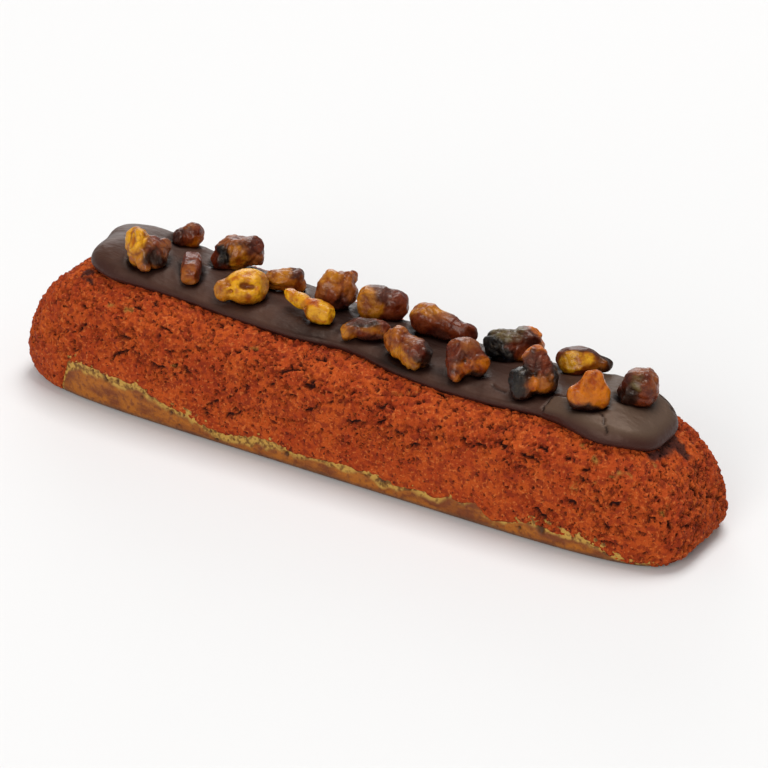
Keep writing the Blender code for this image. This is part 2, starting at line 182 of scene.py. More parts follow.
def outline_size(level):
    """Half length and half width of the bun at a height level."""
    reach = LENGTH / 2 - END_ROUNDING * (1 - swell(level, END_FOOT, END_BELLY, END_SQUARENESS))
    width = HALF_WIDTH * swell(level, FOOT_WIDTH, BELLY, CROWN_SQUARENESS)
    under = np.clip(FOOT_RADIUS - level * HEIGHT, 0, FOOT_RADIUS)
    tuck = FOOT_TUCK * (FOOT_RADIUS - np.sqrt(FOOT_RADIUS ** 2 - under ** 2))
    return reach - tuck, np.maximum(width - tuck, 1e-4)


def top_line(x):
    """Height of the crown along the bun."""
    return HEIGHT * (1 - SLOPE * x / (LENGTH / 2)) - bulge(x, SAG, SAG_MIDDLE, SAG_REACH)


print("crown height at the middle in mm:", round(float(top_line(0.0)), 1))

# %% [markdown]
# Every point of the surface is found from two numbers: how far around the bun it is, and at which
# height level. We start on the spine, a line along the middle, and walk outwards until we leave
# the outline of that level. Halving the step again and again finds the place where that happens,
# and it works for any outline.

# %% The loaf's surface
TURNS = np.array([0, 1, 1, 3, 3, 4]) * math.pi / 2      # directions on the way around the spine
BASES = np.array([1, 1, -1, -1, 1, 1]) * SPINE          # and where on the spine they start
HALVINGS = 30


def around_spine(around, radius):
    """Start on the spine and direction outwards, for a share of the way around the bun."""
    fan = radius * math.pi / 2
    stops = np.cumsum([0, fan, 2 * SPINE, 2 * fan, 2 * SPINE, fan])
    travel = around * stops[-1]
    angle = np.interp(travel, stops, TURNS)
    return np.interp(travel, stops, BASES), np.cos(angle), np.sin(angle)


def halve(too_far, low, high):
    """Between low and high, the place where too_far turns true, found by halving."""
    for _ in range(HALVINGS):
        middle = (low + high) / 2
        beyond = too_far(middle)
        high = np.where(beyond, middle, high)
        low = np.where(beyond, low, middle)
    return low


def squircle(base, east, north, reach, width, squareness, limit):
    """Distance from the spine to a superellipse in a direction."""
    def outside(radius):
        along = np.abs(base + radius * east) / reach
        across = np.abs(radius * north) / width
        return along ** squareness + across ** squareness > 1

    return halve(outside, np.zeros_like(base), np.full_like(base, limit))


def bun_surface(around, level):
    """Points on the loaf's outer form."""
    around, level = np.broadcast_arrays(np.asarray(around, float), np.asarray(level, float))
    reach, width = outline_size(level)
    base, east, north = around_spine(around, HALF_WIDTH)
    radius = squircle(base, east, north, reach, width, PLAN_SQUARENESS, 2 * HALF_WIDTH)
    x = base + radius * east
    y = radius * north * (1 - NARROWING * x / (LENGTH / 2))
    return np.stack([x, y, level * top_line(x)], -1)


def crown_height(x, y):
    """Height of the loaf's top at a place in plan."""
    across = np.abs(y) / (1 - NARROWING * x / (LENGTH / 2))

    def above(level):
        reach, width = outline_size(level)
        return (np.abs(x) / reach) ** PLAN_SQUARENESS + (across / width) ** PLAN_SQUARENESS > 1

    return halve(above, np.full_like(x, BELLY / 2), np.ones_like(x)) * top_line(x)


print("the low tip, half way up:", bun_surface(0.0, 0.5).round(1))

# %% [markdown]
# Equal steps in height would crowd on the steep side and be far apart on the flat top. So we
# measure the section's length from the table up, and from now on a "run" is a share of that
# length. Rows at equal runs are evenly spaced on the surface itself.

# %% Levels and runs
LEVEL_STEPS = 400
LEVELS = np.linspace(0, 1, LEVEL_STEPS + 1)
STEPS = np.hypot(np.diff(outline_size(LEVELS)[1]), HEIGHT / LEVEL_STEPS)
SECTION = STEPS.sum()
RUNS = np.concatenate([[0], np.cumsum(STEPS)]) / SECTION
print("section from table to crown in mm:", round(SECTION, 1))

# %% [markdown]
# ## Nets
#
# Each of the three layers is a net of points: columns run around the bun and rows run up it, and
# every four neighbours make a face. A net bends to any form, it has no seams, and we can push each
# of its points in or out along the surface's own outward direction. That last step is where all
# the fine relief comes from.

# %% Net tools
WELD_REACH = 0.002 * MM       # points closer than this become one


def outward(net):
    """The outward direction at each point of a net that closes on itself sideways."""
    sideways = np.roll(net, -1, 0) - np.roll(net, 1, 0)
    upwards = np.gradient(net, axis=1)
    facing = np.cross(sideways, upwards)
    length = np.linalg.norm(facing, axis=-1, keepdims=True)
    return facing / np.maximum(length, 1e-9)


def with_rows(values, before, after=0):
    """Marks for a whole net that has unmarked rows before and after the marked ones."""
    columns = len(values)
    return np.concatenate([np.zeros((columns, before)), values, np.zeros((columns, after))], 1)


def net_object(name, net, marks, material):
    """A closed mesh from a net. Its first and last rows close to lines along the spine."""
    columns, rows = net.shape[:2]
    column, row = np.meshgrid(np.arange(columns), np.arange(rows - 1), indexing="ij")
    after = (column + 1) % columns
    faces = np.stack([column * rows + row, after * rows + row,
                      after * rows + row + 1, column * rows + row + 1], -1)
    mesh = bpy.data.meshes.new(name)
    mesh.from_pydata((net.reshape(-1, 3) * MM).tolist(), [], faces.reshape(-1, 4).tolist())
    for mark, values in marks.items():
        layer = mesh.attributes.new(mark, "FLOAT", "POINT")
        layer.data.foreach_set("value", values.astype(np.float32).ravel())
    mesh.materials.append(material)
    mesh.shade_smooth()
    piece = bpy.data.objects.new(name, mesh)
    bpy.context.scene.collection.objects.link(piece)
    weld = piece.modifiers.new("close the ends", "WELD")
    weld.merge_threshold = WELD_REACH
    print(name, "points:", columns * rows)
    return piece


def settle(piece, node):
    """The piece stands in for its plain node, which is hidden, and hangs from the root body."""
    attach(piece, "root")
    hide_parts(node)


# %% [markdown]
# ## Materials
#
# A small helper makes a material and joins its nodes, so that each finish below reads as a list of
# what it is made of. Colours are given the way a screen shows them, from 0 to 255, and turned into
# the linear values that a renderer works with.

# %% Material tools
def screen(red, green, blue):
    """A linear colour from the values that a screen shows."""
    shares = [value / 255 for value in (red, green, blue)]
    return [share / 12.92 if share < 0.04045 else ((share + 0.055) / 1.055) ** 2.4
            for share in shares] + [1.0]


class Finish:
    """A material whose nodes are added one call at a time."""

    def __init__(self, name, roughness):
        self.material = bpy.data.materials.new(name)
        self.material.use_nodes = True
        self.nodes = self.material.node_tree.nodes
        self.shader = self.nodes["Principled BSDF"]
        self.shader.inputs["Roughness"].default_value = roughness

    def add(self, kind, values=None, **settings):
        """A node with its settings, and values or links for its inputs."""
        node = self.nodes.new(kind)
        for key, value in settings.items():
            setattr(node, key, value)
        for key, value in (values or {}).items():
            self.join(value, node.inputs[key])
        return node

    def join(self, value, socket):
        """Link an output to a socket, or set the socket to a number or colour."""
        if isinstance(value, bpy.types.NodeSocket):
            self.material.node_tree.links.new(value, socket)
        else:
            socket.default_value = value

    def mark(self, name):
        """A value that was stored on the mesh."""
        return self.add("ShaderNodeAttribute", attribute_name=name).outputs["Fac"]

    def position(self):
        """Places on the object, in metres."""
        return self.add("ShaderNodeTexCoord").outputs["Object"]

    def noise(self, size, detail=2.0, stretch=(1, 1, 1)):
        """Noise with bumps of a size in millimetres."""
        flat = self.add("ShaderNodeMapping", {"Vector": self.position(), "Scale": stretch})
        return self.add("ShaderNodeTexNoise", {
            "Vector": flat.outputs[0], "Scale": 1 / (size * MM), "Detail": detail}).outputs[0]

    def ramp(self, value, stops):
        """A colour or grey for each stretch of a value from 0 to 1."""
        node = self.add("ShaderNodeValToRGB", {"Fac": value})
        ramp = node.color_ramp
        while len(ramp.elements) < len(stops):
            ramp.elements.new(0.5)
        for element, (place, colour) in zip(ramp.elements, stops):
            element.position = place
            element.color = colour if hasattr(colour, "__len__") else (colour,) * 3 + (1,)
        return node.outputs[0]

    def mix(self, share, first, second, blend="MIX"):
        """Two colours mixed by a share."""
        node = self.add("ShaderNodeMix", data_type="RGBA", blend_type=blend)
        self.join(share, node.inputs[0])
        self.join(first, node.inputs[6])
        self.join(second, node.inputs[7])
        return node.outputs[2]

    def bump(self, height, depth, under=None):
        """Fine relief of a depth in millimetres, laid over another."""
        values = {"Height": height, "Strength": 1.0, "Distance": depth * MM}
        if under is not None:
            values["Normal"] = under
        return self.add("ShaderNodeBump", values).outputs[0]

    def colour(self, value):
        """The finish's own colour."""
        self.join(value, self.shader.inputs["Base Color"])

    def relief(self, value):
        """The bumps that are too fine for the mesh."""
        self.join(value, self.shader.inputs["Normal"])

    def done(self):
        """The material, once nothing more is added."""
        print(self.material.name, "finish:", len(self.nodes), "nodes")
        return self.material


# %% [markdown]
# ## The craquelin's looks
#
# Craquelin is butter, sugar, flour and here cocoa, laid on the raw bun as a thin disc. It bakes
# dry and sandy: there is no shine at all. Where it has torn and sunk, painted shade darkens it.
# Light orange specks are painted glints on its crumbs, and dark dots are painted shade in its
# fine pores. In the widest tears the pale choux shows. The mesh carries the painted shade of the
# pits, the bare spots and the chocolate smears as marks named sunk, bare and stained, so the
# colours always agree with the relief.

# %% The craquelin's finish
def craquelin_finish():
    """Dry, sandy cocoa crust with painted shade in its pits and pores and painted glints on its
    crumbs, pale where the choux shows.
    """
    finish = Finish("craquelin", 0.8)
    patches = finish.noise(5, 3)
    grains = finish.noise(1.2, 3)
    specks = finish.noise(0.6, 1)
    dots = finish.noise(0.75, 1)
    crust = finish.mix(finish.ramp(patches, [(0.4, 0), (0.6, 1)]),
                       screen(157, 57, 16), screen(175, 73, 22))
    crust = finish.mix(finish.ramp(grains, [(0.38, 0.7), (0.52, 0)]), crust, screen(116, 34, 12))
    # painted highlight: light orange specks stand for glints on the crumbs' tops
    crust = finish.mix(finish.ramp(specks, [(0.6, 0), (0.7, 0.5)]), crust, screen(202, 112, 54))
    # painted shade: dark dots stand for the shade inside fine pores, which also get a bump
    holes = finish.ramp(dots, [(0.27, 0.8), (0.36, 0)])
    crust = finish.mix(holes, crust, screen(84, 24, 10))
    crust = finish.mix(finish.mark("bare"), crust, screen(150, 112, 50))
    # painted shade: the pits, tears and cracks that the mesh marks as sunk are darkened
    crust = finish.mix(finish.mark("sunk"), crust, screen(44, 12, 8))
    crust = finish.mix(finish.mark("stained"), crust, screen(44, 24, 22))
    finish.colour(crust)
    sand = finish.bump(specks, 0.22, finish.bump(grains, 0.5))
    finish.relief(finish.bump(holes, -0.25, sand))
    finish.shader.inputs["Specular IOR Level"].default_value = 0.15
    return finish.done()


craquelin_look = craquelin_finish()

# %% [markdown]
# ## The craquelin's hem
#
# The crust starts at a ragged hem a few millimetres above the table, where the bun outgrew it, and
# at both ends it reaches the table. Along the front we note the hem's height at a few places and
# join them up, because its steps are what one sees first. Along the back a gentle wave will do.

# %% The hem
CRUST = 1.7                   # millimetres thick
# the front hem: places along the bun, and its height above the table at each, in millimetres
HEM_PLACES = (-66, -62.5, -60, -57, -50, -43, -40, -34, -30.5, -27, -22.5, -20, -14.5, -10.5, -5.5,
              0.5, 7, 12.5, 16.5, 22, 25, 28.5, 31.5, 34.5, 38, 41.5, 46, 50, 52, 57.5, 60, 63, 66)
HEM_FRONT = (0.2, 0.4, 7.0, 8.1, 7.5, 7.5, 6.3, 4.8, 4.1, 3.4, 2.6, 2.9, 3.8, 4.0, 3.5, 4.2, 4.3,
             4.1, 3.2, 4.0, 3.2, 4.8, 4.2, 5.4, 2.0, 3.0, 4.4, 4.1, 3.7, 3.8, 2.8, 1.2, 0.3)
BACK_HEM, BACK_WAVE, BACK_WAVE_LENGTH = 3.9, 0.8, 6.1
END_HEM = 0.3


def hem_height(x, y):
    """How far above the table the crust ends, in millimetres."""
    front = np.interp(x, HEM_PLACES, HEM_FRONT)
    back = BACK_HEM + bulge(x, 1.6, 24, 15) + BACK_WAVE * np.cos(x / BACK_WAVE_LENGTH + 1)
    fade = np.clip((x + 64) / 6, 0, 1) * np.clip((61 - x) / 8, 0, 1)
    return np.where(y < 0, front, END_HEM + (back - END_HEM) * fade)


print("the front hem is from", min(HEM_FRONT), "to", max(HEM_FRONT), "mm above the table")

# %% [markdown]
# The crust's net has more than a thousand columns, so that a crumb of one millimetre gets several
# points. Its rows run from the hem upwards and are just as fine, but only as far as the edge of
# the ganache. Above that nobody sees the crust, and a few rows are enough.

# %% The crust's net
CRUST_COLUMNS, CRUST_ROWS, CROWN_ROWS = 1140, 78, 3
FINE_TO = 0.76                # the run up to which rows are fine
LOWEST_HEM = 0.25
around = (np.arange(CRUST_COLUMNS) / CRUST_COLUMNS)[:, None]
foot_line = bun_surface(around, 0)
ragged = 0.35 * soft_noise(foot_line, 3.0, 11) + 0.12 * soft_noise(foot_line, 1.2, 12)
hem = np.maximum(hem_height(foot_line[..., 0], foot_line[..., 1]) + ragged, LOWEST_HEM)
hem_run = np.interp(hem / HEIGHT, LEVELS, RUNS)
fine = np.linspace(0, 1, CRUST_ROWS)[None]
crown = np.linspace(FINE_TO, 1, CROWN_ROWS + 1)[None, 1:]
run = np.concatenate([hem_run + (FINE_TO - hem_run) * fine,
                      np.broadcast_to(crown, (CRUST_COLUMNS, CROWN_ROWS))], 1)
shell = bun_surface(around, np.interp(run, RUNS, LEVELS))
shell_out = outward(shell)
print("hem from", round(hem.min(), 1), "to", round(hem.max(), 1), "mm above the table")

# %% [markdown]
# ## The craquelin's relief
#
# The crust's face is made of crumbs about a millimetre across, with pits between them. Two tools
# make those. `pits` keeps a share of the scattered seeds and sinks a round pit at each. `warp` moves
# places about before anything is drawn on them, so that no pit stays round and no line straight.

# %% Pits and warps
def pits(points, size, seed, share, widest):
    """Pits from 0 to 1 deep: only a share of the seeds make one."""
    nearest, _, mark = scatter(points, size, seed)
    radius = widest * (0.45 + 0.55 * np.clip(mark / np.maximum(share, 1e-3), 0, 1))
    return np.where(mark < share, 1 - smooth_step(nearest / radius, 0.5, 1), 0)


def warp(points, size, strength, seed):
    """Places moved about, so that what is drawn on them loses its round shapes."""
    moves = [soft_noise(points, size, seed + axis) for axis in range(3)]
    return points + strength * np.stack(moves, -1)


moved = np.abs(warp(shell, 1.7, 0.6, 22) - shell)
print("a warp moves places by up to", round(float(moved.max()), 2), "mm")

# %% [markdown]
# Most pits may lie anywhere, but some features give this crust its own face: the widest tears, the
# spots where pale choux shows, and the chocolate smeared beside the band's ends. These are placed
# one by one. Each is a line from one place to another and its half width, all in millimetres.

# %% Tears, bare spots and smears
TEARS = (
    (16.4, -15.8, 15, 19.5, -15.8, 14.5, 0.5), (19.8, -15.2, 17.7, 24.3, -15.8, 13.8, 0.28),
    (20.4, -15.9, 12.9, 22, -15.9, 13.3, 0.45), (7, -16.1, 14.2, 10, -15.9, 14.9, 0.4),
    (12.8, -15.8, 15.8, 14.1, -15.7, 16.2, 0.35), (37.6, -14.2, 18.8, 38.4, -14.8, 17.9, 0.4),
    (33.3, -15.2, 16.9, 36.2, -15.1, 17.1, 0.45), (31.1, -15.2, 17.3, 32.5, -15.4, 16.1, 0.3),
    (34.1, -13.2, 20.4, 36.1, -12.7, 20.8, 0.25), (42.9, -14.9, 17, 44.9, -14.8, 17.3, 0.25),
    (31.5, -15.7, 11.9, 31.9, -15.7, 12.1, 0.35), (12.8, -14.8, 18.8, 14.3, -14.6, 18.9, 0.35),
    (42.3, -15.4, 11.2, 44, -15.4, 11, 0.3), (9.4, -10.9, 22.2, 11.9, -10.3, 22.4, 0.4),
    (-57.3, -16.1, 15.5, -55.2, -16, 17.6, 0.4), (-48.6, -16.6, 11.9, -44, -16.6, 15.7, 0.35),
    (-38.7, -16.7, 13.7, -36.3, -16.7, 13.5, 0.6), (-34.9, -16.4, 17.5, -30.9, -16.2, 18.3, 0.25),
    (-33.6, -16.6, 14.7, -30, -16.6, 14.6, 0.4), (-30.5, -16.6, 14.9, -29.3, -16.6, 14.2, 0.5),
    (-28.4, -15.7, 19.9, -24.9, -15.2, 20.5, 0.25), (-23.6, -15.5, 19.9, -20.5, -15.1, 20.4, 0.3),
    (-19.9, -14.7, 21, -18.9, -14.4, 21.4, 0.3), (-18.5, -13.9, 21.9, -15.5, -13.6, 22, 0.3),
    (-24.9, -16.4, 16.7, -22.1, -16.4, 16, 0.22), (-20.8, -16.1, 17.9, -18.2, -16.2, 17, 0.22),
    (-13.7, -16.4, 14.3, -12.8, -16.2, 15.8, 0.45), (-11.5, -16.1, 16.5, -8.2, -15.8, 18, 0.35),
    (-21.3, -16.5, 7.3, -18.2, -16.4, 8.6, 0.45), (-9.4, -16.3, 10.3, -8, -16.3, 10.1, 0.3),
    (-9.2, -15, 19.7, -4.9, -14, 20.9, 0.35), (-3.4, -15.5, 18.6, -1.8, -15.4, 18.6, 0.5),
    (-2.9, -16.2, 13.5, 0.4, -16.1, 15.5, 0.5), (-3.3, -11.1, 22.7, -1.8, -10.6, 22.9, 0.5),
    (-6.9, -16.1, 15.9, -4.9, -16, 16.3, 0.3), (-25.5, -16.6, 8.7, -23.3, -16.5, 9.5, 0.4),
    (-16.5, -16.4, 15.4, -16, -16.4, 14.7, 0.3), (-27, -16.6, 6.9, -25.3, -16.5, 6.3, 0.3),
    (-47, -16.5, 17, -44, -16.5, 17.8, 0.3), (-44.5, -13.6, 23.3, -43.1, -13.5, 23.4, 0.4),
    (-26.5, -11.2, 24.2, -24.7, -11.1, 24.2, 0.3), (-37.3, -14.9, 21.7, -34.8, -15.1, 21.3, 0.35),
    (38.2, -12.6, 20.8, 41.6, -11.9, 21, 0.22), (43.4, -14.8, 17.5, 46.1, -14.6, 17.6, 0.32),
    (55.9, -13.5, 17.8, 56.9, -13.1, 18.2, 0.35), (53.6, -14.9, 11.1, 55.2, -14.8, 10.7, 0.45),
    (59.4, -14.3, 12.3, 60, -14.2, 12, 0.4), (62, -13.8, 12.7, 63, -13.7, 12.3, 0.42),
    (60.8, -14.3, 8.5, 61.9, -14.1, 6.9, 0.4), (60.8, -14.2, 4.3, 62.7, -14, 4.4, 0.4),
    (67.7, -12.8, 8, 69.7, -12, 7.3, 0.25), (71.8, -1.2, 13.2, 72.8, -0.6, 11.8, 0.6),
    (73.3, -0.7, 10.7, 73.5, 1.7, 10.2, 0.2), (73.5, 1.7, 10.2, 73.9, 6.5, 8.1, 0.2),
    (68, -12.4, 9.7, 68.8, -12, 9.4, 0.35), (67.4, -3.8, 17.9, 68.1, -2.9, 17.3, 0.35),
    (71.9, -10.3, 10.2, 72.4, -10, 8.7, 0.35), (46.8, -13.4, 19.4, 48.4, -13.3, 19.4, 0.35),
    (39, -14.4, 18.5, 40.3, -14.6, 18.1, 0.4), (47.2, -15.3, 7.2, 48.7, -15.2, 6.1, 0.6))
BARE = (
    (-50.5, -14.5, 22.2, -48.8, -14.1, 22.7, 0.5), (-46, -14.5, 22.3, -44.1, -13.9, 23, 0.5),
    (55, -14.6, 14, 55.2, -14.6, 13.8, 0.7), (54.1, -10.9, 20.8, 55.8, -11, 20.6, 0.5),
    (55.8, -11, 20.6, 58.2, -12.3, 19, 0.45), (62.9, -11.4, 18, 63.9, -11.2, 17.8, 0.6),
    (57.8, -14.1, 15.4, 59, -13.8, 15.9, 0.45), (51.7, -13.9, 18, 52.2, -13.9, 17.9, 0.5),
    (65.7, -5.8, 19.1, 66.5, -6.4, 18.6, 0.5), (70.3, -0.7, 15.2, 71.8, -0.5, 13.1, 0.3),
    (70.8, -10.4, 11.9, 72.3, -9.5, 9.5, 0.4), (61.1, -12.8, 17.1, 62.3, -12, 17.5, 0.35),
    (-17.1, -13.7, 22, -15.6, -13.4, 22.1, 0.35), (-33.9, -16.7, 14.4, -31.7, -16.6, 14.6, 0.35),
    (14.9, -13.1, 20.8, 19.3, -11.4, 21.7, 0.25))
SMEARS = (
    (65.8, -1.4, 19.2, 65.6, 2.7, 19.3, 1.6), (66.3, 2.2, 18.9, 68.3, 2.5, 17.1, 1.3),
    (65.2, -5.6, 19.5, 66.2, -2.1, 19, 0.9), (-59.5, -9.4, 24.9, -57.5, -9.6, 27.3, 1.),
    (-64.8, -3.9, 23.5, -65.5, -1.1, 23.1, 0.8), (-60.1, -9.9, 24.5, -56.9, -11.2, 24.6, 0.7))


def near_lines(points, lines, seed):
    """1 on the lines, falling to 0 at their ragged rims."""
    ragged = warp(warp(points, 1.2, 0.5, seed), 0.5, 0.22, seed + 3)
    share = np.zeros(points.shape[:-1])
    for *ends, width in lines:
        start, run = np.array(ends[:3]), np.array(ends[3:]) - np.array(ends[:3])
        along = np.clip((ragged - start) @ run / max(run @ run, 0.01), 0, 1)
        distance = np.linalg.norm(ragged - start - along[..., None] * run, axis=-1)
        share = np.maximum(share, 1 - smooth_step(distance / width, 0.5, 1.3))
    return share


placed_tears = near_lines(shell, TEARS, 64)
bare = near_lines(shell, BARE, 81) * smooth_step(soft_noise(shell, 0.9, 88), -0.5, 0.2)
stained = near_lines(shell, SMEARS, 85)
print(len(TEARS), "tears,", len(BARE), "bare spots,", len(SMEARS), "smears")

# %% [markdown]
# Higher up, where it stretched most, the crust's crumbs stand apart and tear open into dark cracks
# along the bun. Low down its face stays fine and sandy. So we first measure how rough each place
# is, from its share of the bun's height, and then let that decide how many pits there are. Pits
# and tears are drawn on a net squeezed along the bun, which stretches them lengthways.

# %% Where the crust is rough, and where it has sunk
height_share = shell[..., 2] / top_line(shell[..., 0])
wander = soft_noise(shell, 12, 21)
rough = smooth_step(height_share + 0.22 * wander, 0.2, 0.6)
rough = np.maximum(rough, smooth_step(shell[..., 0] + 4 * wander, 36, 54))
CRUMB, SMALL_PIT, LARGE_PIT, TEAR = 1.3, 1.15, 2.3, 2.2     # millimetres from one to the next
uneven = warp(warp(shell, 1.7, 0.6, 22), 0.7, 0.25, 26)
bent = warp(uneven, 6, 2.0, 28)
crumbs, gaps, _ = scatter(uneven * (0.75, 1, 1), CRUMB, 31)
open_gaps = smooth_step(soft_noise(shell, 2.4, 35), -0.1, 0.3) * (0.2 + 0.8 * rough)
cracks = (1 - smooth_step(gaps - crumbs, 0.03, 0.17)) * open_gaps
small = pits(uneven * (0.8, 1, 1), SMALL_PIT, 41, 0.44 + 0.36 * rough, 0.34)
large = pits(uneven * (0.6, 1, 1), LARGE_PIT, 51, 0.2 + 0.34 * rough, 0.24)
tears = np.maximum(pits(bent * (0.34, 1, 1.1), TEAR, 61, 0.14 + 0.24 * rough, 0.17), placed_tears)
sunk = np.clip(0.55 * cracks + 0.9 * small + large + tears, 0, 1.15)
print("rough:", round(float(rough.mean()), 2), "of the crust, sunk:", round(float(sunk.mean()), 2))

# %% [markdown]
# The relief is the sum of everything, in millimetres along the surface's outward direction: slow
# swelling, the crumbs' round tops, sandy grain, and all that has sunk. Behind the band the crust
# is drawn in, so that it stays below the ganache, and at the foot it may not bulge past the base.

# %% The crust's relief
SUNK_DEPTH, BARE_DEPTH, HEM_STEP, DRAWN_IN = 0.95, 0.35, 0.25, 1.2
swelling = 0.14 * soft_noise(shell, 9, 71) + 0.1 * soft_noise(shell, 4, 72)
lumps = (0.4 - crumbs) * 0.6 * (0.35 + 0.65 * rough)
grain = 0.16 * soft_noise(shell, 0.9, 73) + 0.2 * soft_noise(shell, 0.55, 74)
above_hem = (run - hem_run) * SECTION
edge = -HEM_STEP * (1 - smooth_step(above_hem, 0, 0.7))
relief = swelling + lumps + grain * (0.8 + 0.4 * rough) - SUNK_DEPTH * sunk + edge
beside_band = smooth_step(shell[..., 1], 3, 5) * (1 - smooth_step(shell[..., 1], 10, 13)) * rough
relief = relief - DRAWN_IN * beside_band * (shell[..., 0] < 50)
settled = smooth_step(shell[..., 2], 0, 2.5)
relief = np.where(relief > 0, relief * settled, relief)
relief = relief - BARE_DEPTH * bare
print("relief from", round(relief.min(), 2), "to", round(relief.max(), 2), "mm")

# %% [markdown]
# The skin also needs an inner face, or it would be a sheet of paper. A few plain rows do for that,
# because nobody sees them: they run back down inside, from the crown to the hem.

# %% The crust's mesh
INNER_RUNS = np.array((1.0, 0.75, 0.5))
HIDDEN_ROWS = len(INNER_RUNS) + 1
inner_run = np.broadcast_to(INNER_RUNS, (CRUST_COLUMNS, len(INNER_RUNS)))
inner_run = np.concatenate([inner_run, hem_run + 0.02], 1)
inner = bun_surface(around, np.interp(inner_run, RUNS, LEVELS))
inner = inner + CRUST * outward(inner)      # rows that run downwards face inwards
inner[:, 0] = shell[:, -1] - (0, 0, CRUST)
outer = shell + relief[..., None] * shell_out
outer[:, -1] = shell[:, -1]
# the mark sunk holds painted shade for the pits and tears; bare and stained are the crust's own
# colours
craquelin = net_object("craquelin_crust", np.concatenate([inner, outer], 1), {
    "sunk": with_rows(smooth_step(sunk - 0.4 * bare, 0.3, 0.9), HIDDEN_ROWS),
    "bare": with_rows(0.75 * bare, HIDDEN_ROWS),
    "stained": with_rows(0.9 * stained, HIDDEN_ROWS)}, craquelin_look)
settle(craquelin, "craquelin")

# %% [markdown]
# ## The choux
#
# The bun itself shows only as a strip along the foot of both sides. There the dough tore away from
# the crust as it rose, so the strip's upper rim is pale, open crumb full of small pores. Below it
# the skin is baked smooth and golden brown, and it turns under to the flat base.

# %% The choux's finish
def choux_finish():
    """Golden baked skin, pale open crumb where it is torn, with painted shade in its pores and at its
    foot.
    """
    finish = Finish("choux", 0.55)
    blush = finish.noise(3.5, 3, (0.6, 1, 1.4))
    flecks = finish.noise(1.0, 3)
    baked = finish.mix(finish.ramp(blush, [(0.4, 0), (0.58, 1)]),
                       screen(160, 92, 24), screen(116, 58, 22))
    baked = finish.mix(finish.ramp(flecks, [(0.5, 0), (0.66, 0.7)]), baked, screen(104, 50, 22))
    crumb = finish.mix(finish.ramp(flecks, [(0.4, 0), (0.56, 1)]),
                       screen(112, 74, 26), screen(182, 140, 62))
    skin = finish.mix(finish.mark("torn"), baked, crumb)
    # painted shade: the foot near the table turns greyer and darker
    skin = finish.mix(finish.mark("foot"), skin, screen(92, 68, 50))
    # painted shade in the pores and holes marked sunk
    skin = finish.mix(finish.mark("sunk"), skin, screen(74, 44, 18))
    finish.colour(skin)
    finish.relief(finish.bump(flecks, 0.35))
    finish.shader.inputs["Specular IOR Level"].default_value = 0.25
    return finish.done()


choux_look = choux_finish()

# %% [markdown]
# The strip's net runs from the base up to a little behind the crust's hem, so that no gap shows
# under the ragged edge. It lies a hair inside the crust's face, and its columns are fine enough
# for pores less than a millimetre wide.

# %% The choux's net
CHOUX_COLUMNS, STRIP_ROWS = 1200, 32
INSET = 0.2                   # millimetres inside the crust's face
UNDER_CRUST = 1.6             # the fine rows run on this far behind the hem
around = (np.arange(CHOUX_COLUMNS) / CHOUX_COLUMNS)[:, None]
foot_line = bun_surface(around, 0)
hem_line = hem_height(foot_line[..., 0], foot_line[..., 1])
strip_run = np.interp((hem_line + UNDER_CRUST) / HEIGHT, LEVELS, RUNS)
row_runs = strip_run * np.linspace(0, 1, STRIP_ROWS)[None]
strip = bun_surface(around, np.interp(row_runs, RUNS, LEVELS))
strip_out = outward(strip)
below_hem = hem_line - strip[..., 2]
print("strip net:", strip.shape)

# %% [markdown]
# Where the dough tore, just under the hem, it is full of pores with a few large holes between
# them. Four round holes stand out, and they are placed one by one. The rest is nearly smooth: slow
# dips, and a rim that follows the hem more or less closely.

# %% The choux's relief
PORE, HOLE = 0.95, 2.6        # millimetres from one to the next
PORE_DEPTH, TORN_DEPTH = 0.5, 0.12
ROUND_HOLES = ((14.3, -15.9, 5.2, 14.4, -15.9, 3.4, 0.9), (37.5, -15.6, 3.4, 37.6, -15.6, 2.6, 0.7),
               (47.9, -15.3, 5, 48.2, -15.2, 3, 0.8), (-51.5, -16.7, 7.6, -50.5, -16.7, 6.6, 0.6))
rim = 0.9 + 0.9 * soft_noise(strip, 5, 91) + 0.7 * soft_noise(strip, 2, 98)
torn = smooth_step(rim - below_hem + 0.4 * soft_noise(strip, 1.1, 92), -0.45, 0.5)
pores = pits(strip * (1, 1, 0.8), PORE, 93, 0.25 + 0.55 * torn, 0.36)
holes = pits(strip * (0.8, 0.8, 0.7), HOLE, 94, 0.2 + 0.4 * torn, 0.27)
dips = 0.16 * soft_noise(strip, 5, 95) + 0.1 * soft_noise(strip, 1.6, 96)
strip_sunk = np.clip(pores * torn + holes + near_lines(strip, ROUND_HOLES, 99), 0, 1.2)
# foot is painted shade on the strip's lowest millimetre and a half, where the table shades it
foot = (1 - smooth_step(strip[..., 2], 0.3, 1.5)) * 0.7
strip_relief = (dips + 0.06 * soft_noise(strip, 0.5, 97) * torn - PORE_DEPTH * strip_sunk
                - TORN_DEPTH * torn) * smooth_step(strip[..., 2], 0, 1.2) - INSET
strip = strip + strip_relief[..., None] * strip_out
print("deepest hole in mm:", round(float(-strip_relief.min()), 2))

# %% [markdown]
# Behind the hem the bun goes on under the crust as a plain core, a little smaller so that it never
# comes through, and below it closes along a line in the middle of its base.

# %% The choux's core and mesh
CORE = 2.1                    # under the crust the bun is this much smaller, in millimetres
CORE_SHARES = np.array((0.0, 0.25, 0.5, 0.75, 1.0))
core_run = strip_run + (1 - strip_run) * CORE_SHARES
core = bun_surface(around, np.interp(core_run, RUNS, LEVELS))
crown_row = core[:, -1:] - (0, 0, CORE)
core = core - CORE * outward(core)
base_row = strip[:, :1] * (1, 0, 0)
base_row[..., 0] = np.clip(base_row[..., 0], -SPINE, SPINE)
choux_net = np.concatenate([base_row, strip, core[:, :-1], crown_row], 1)
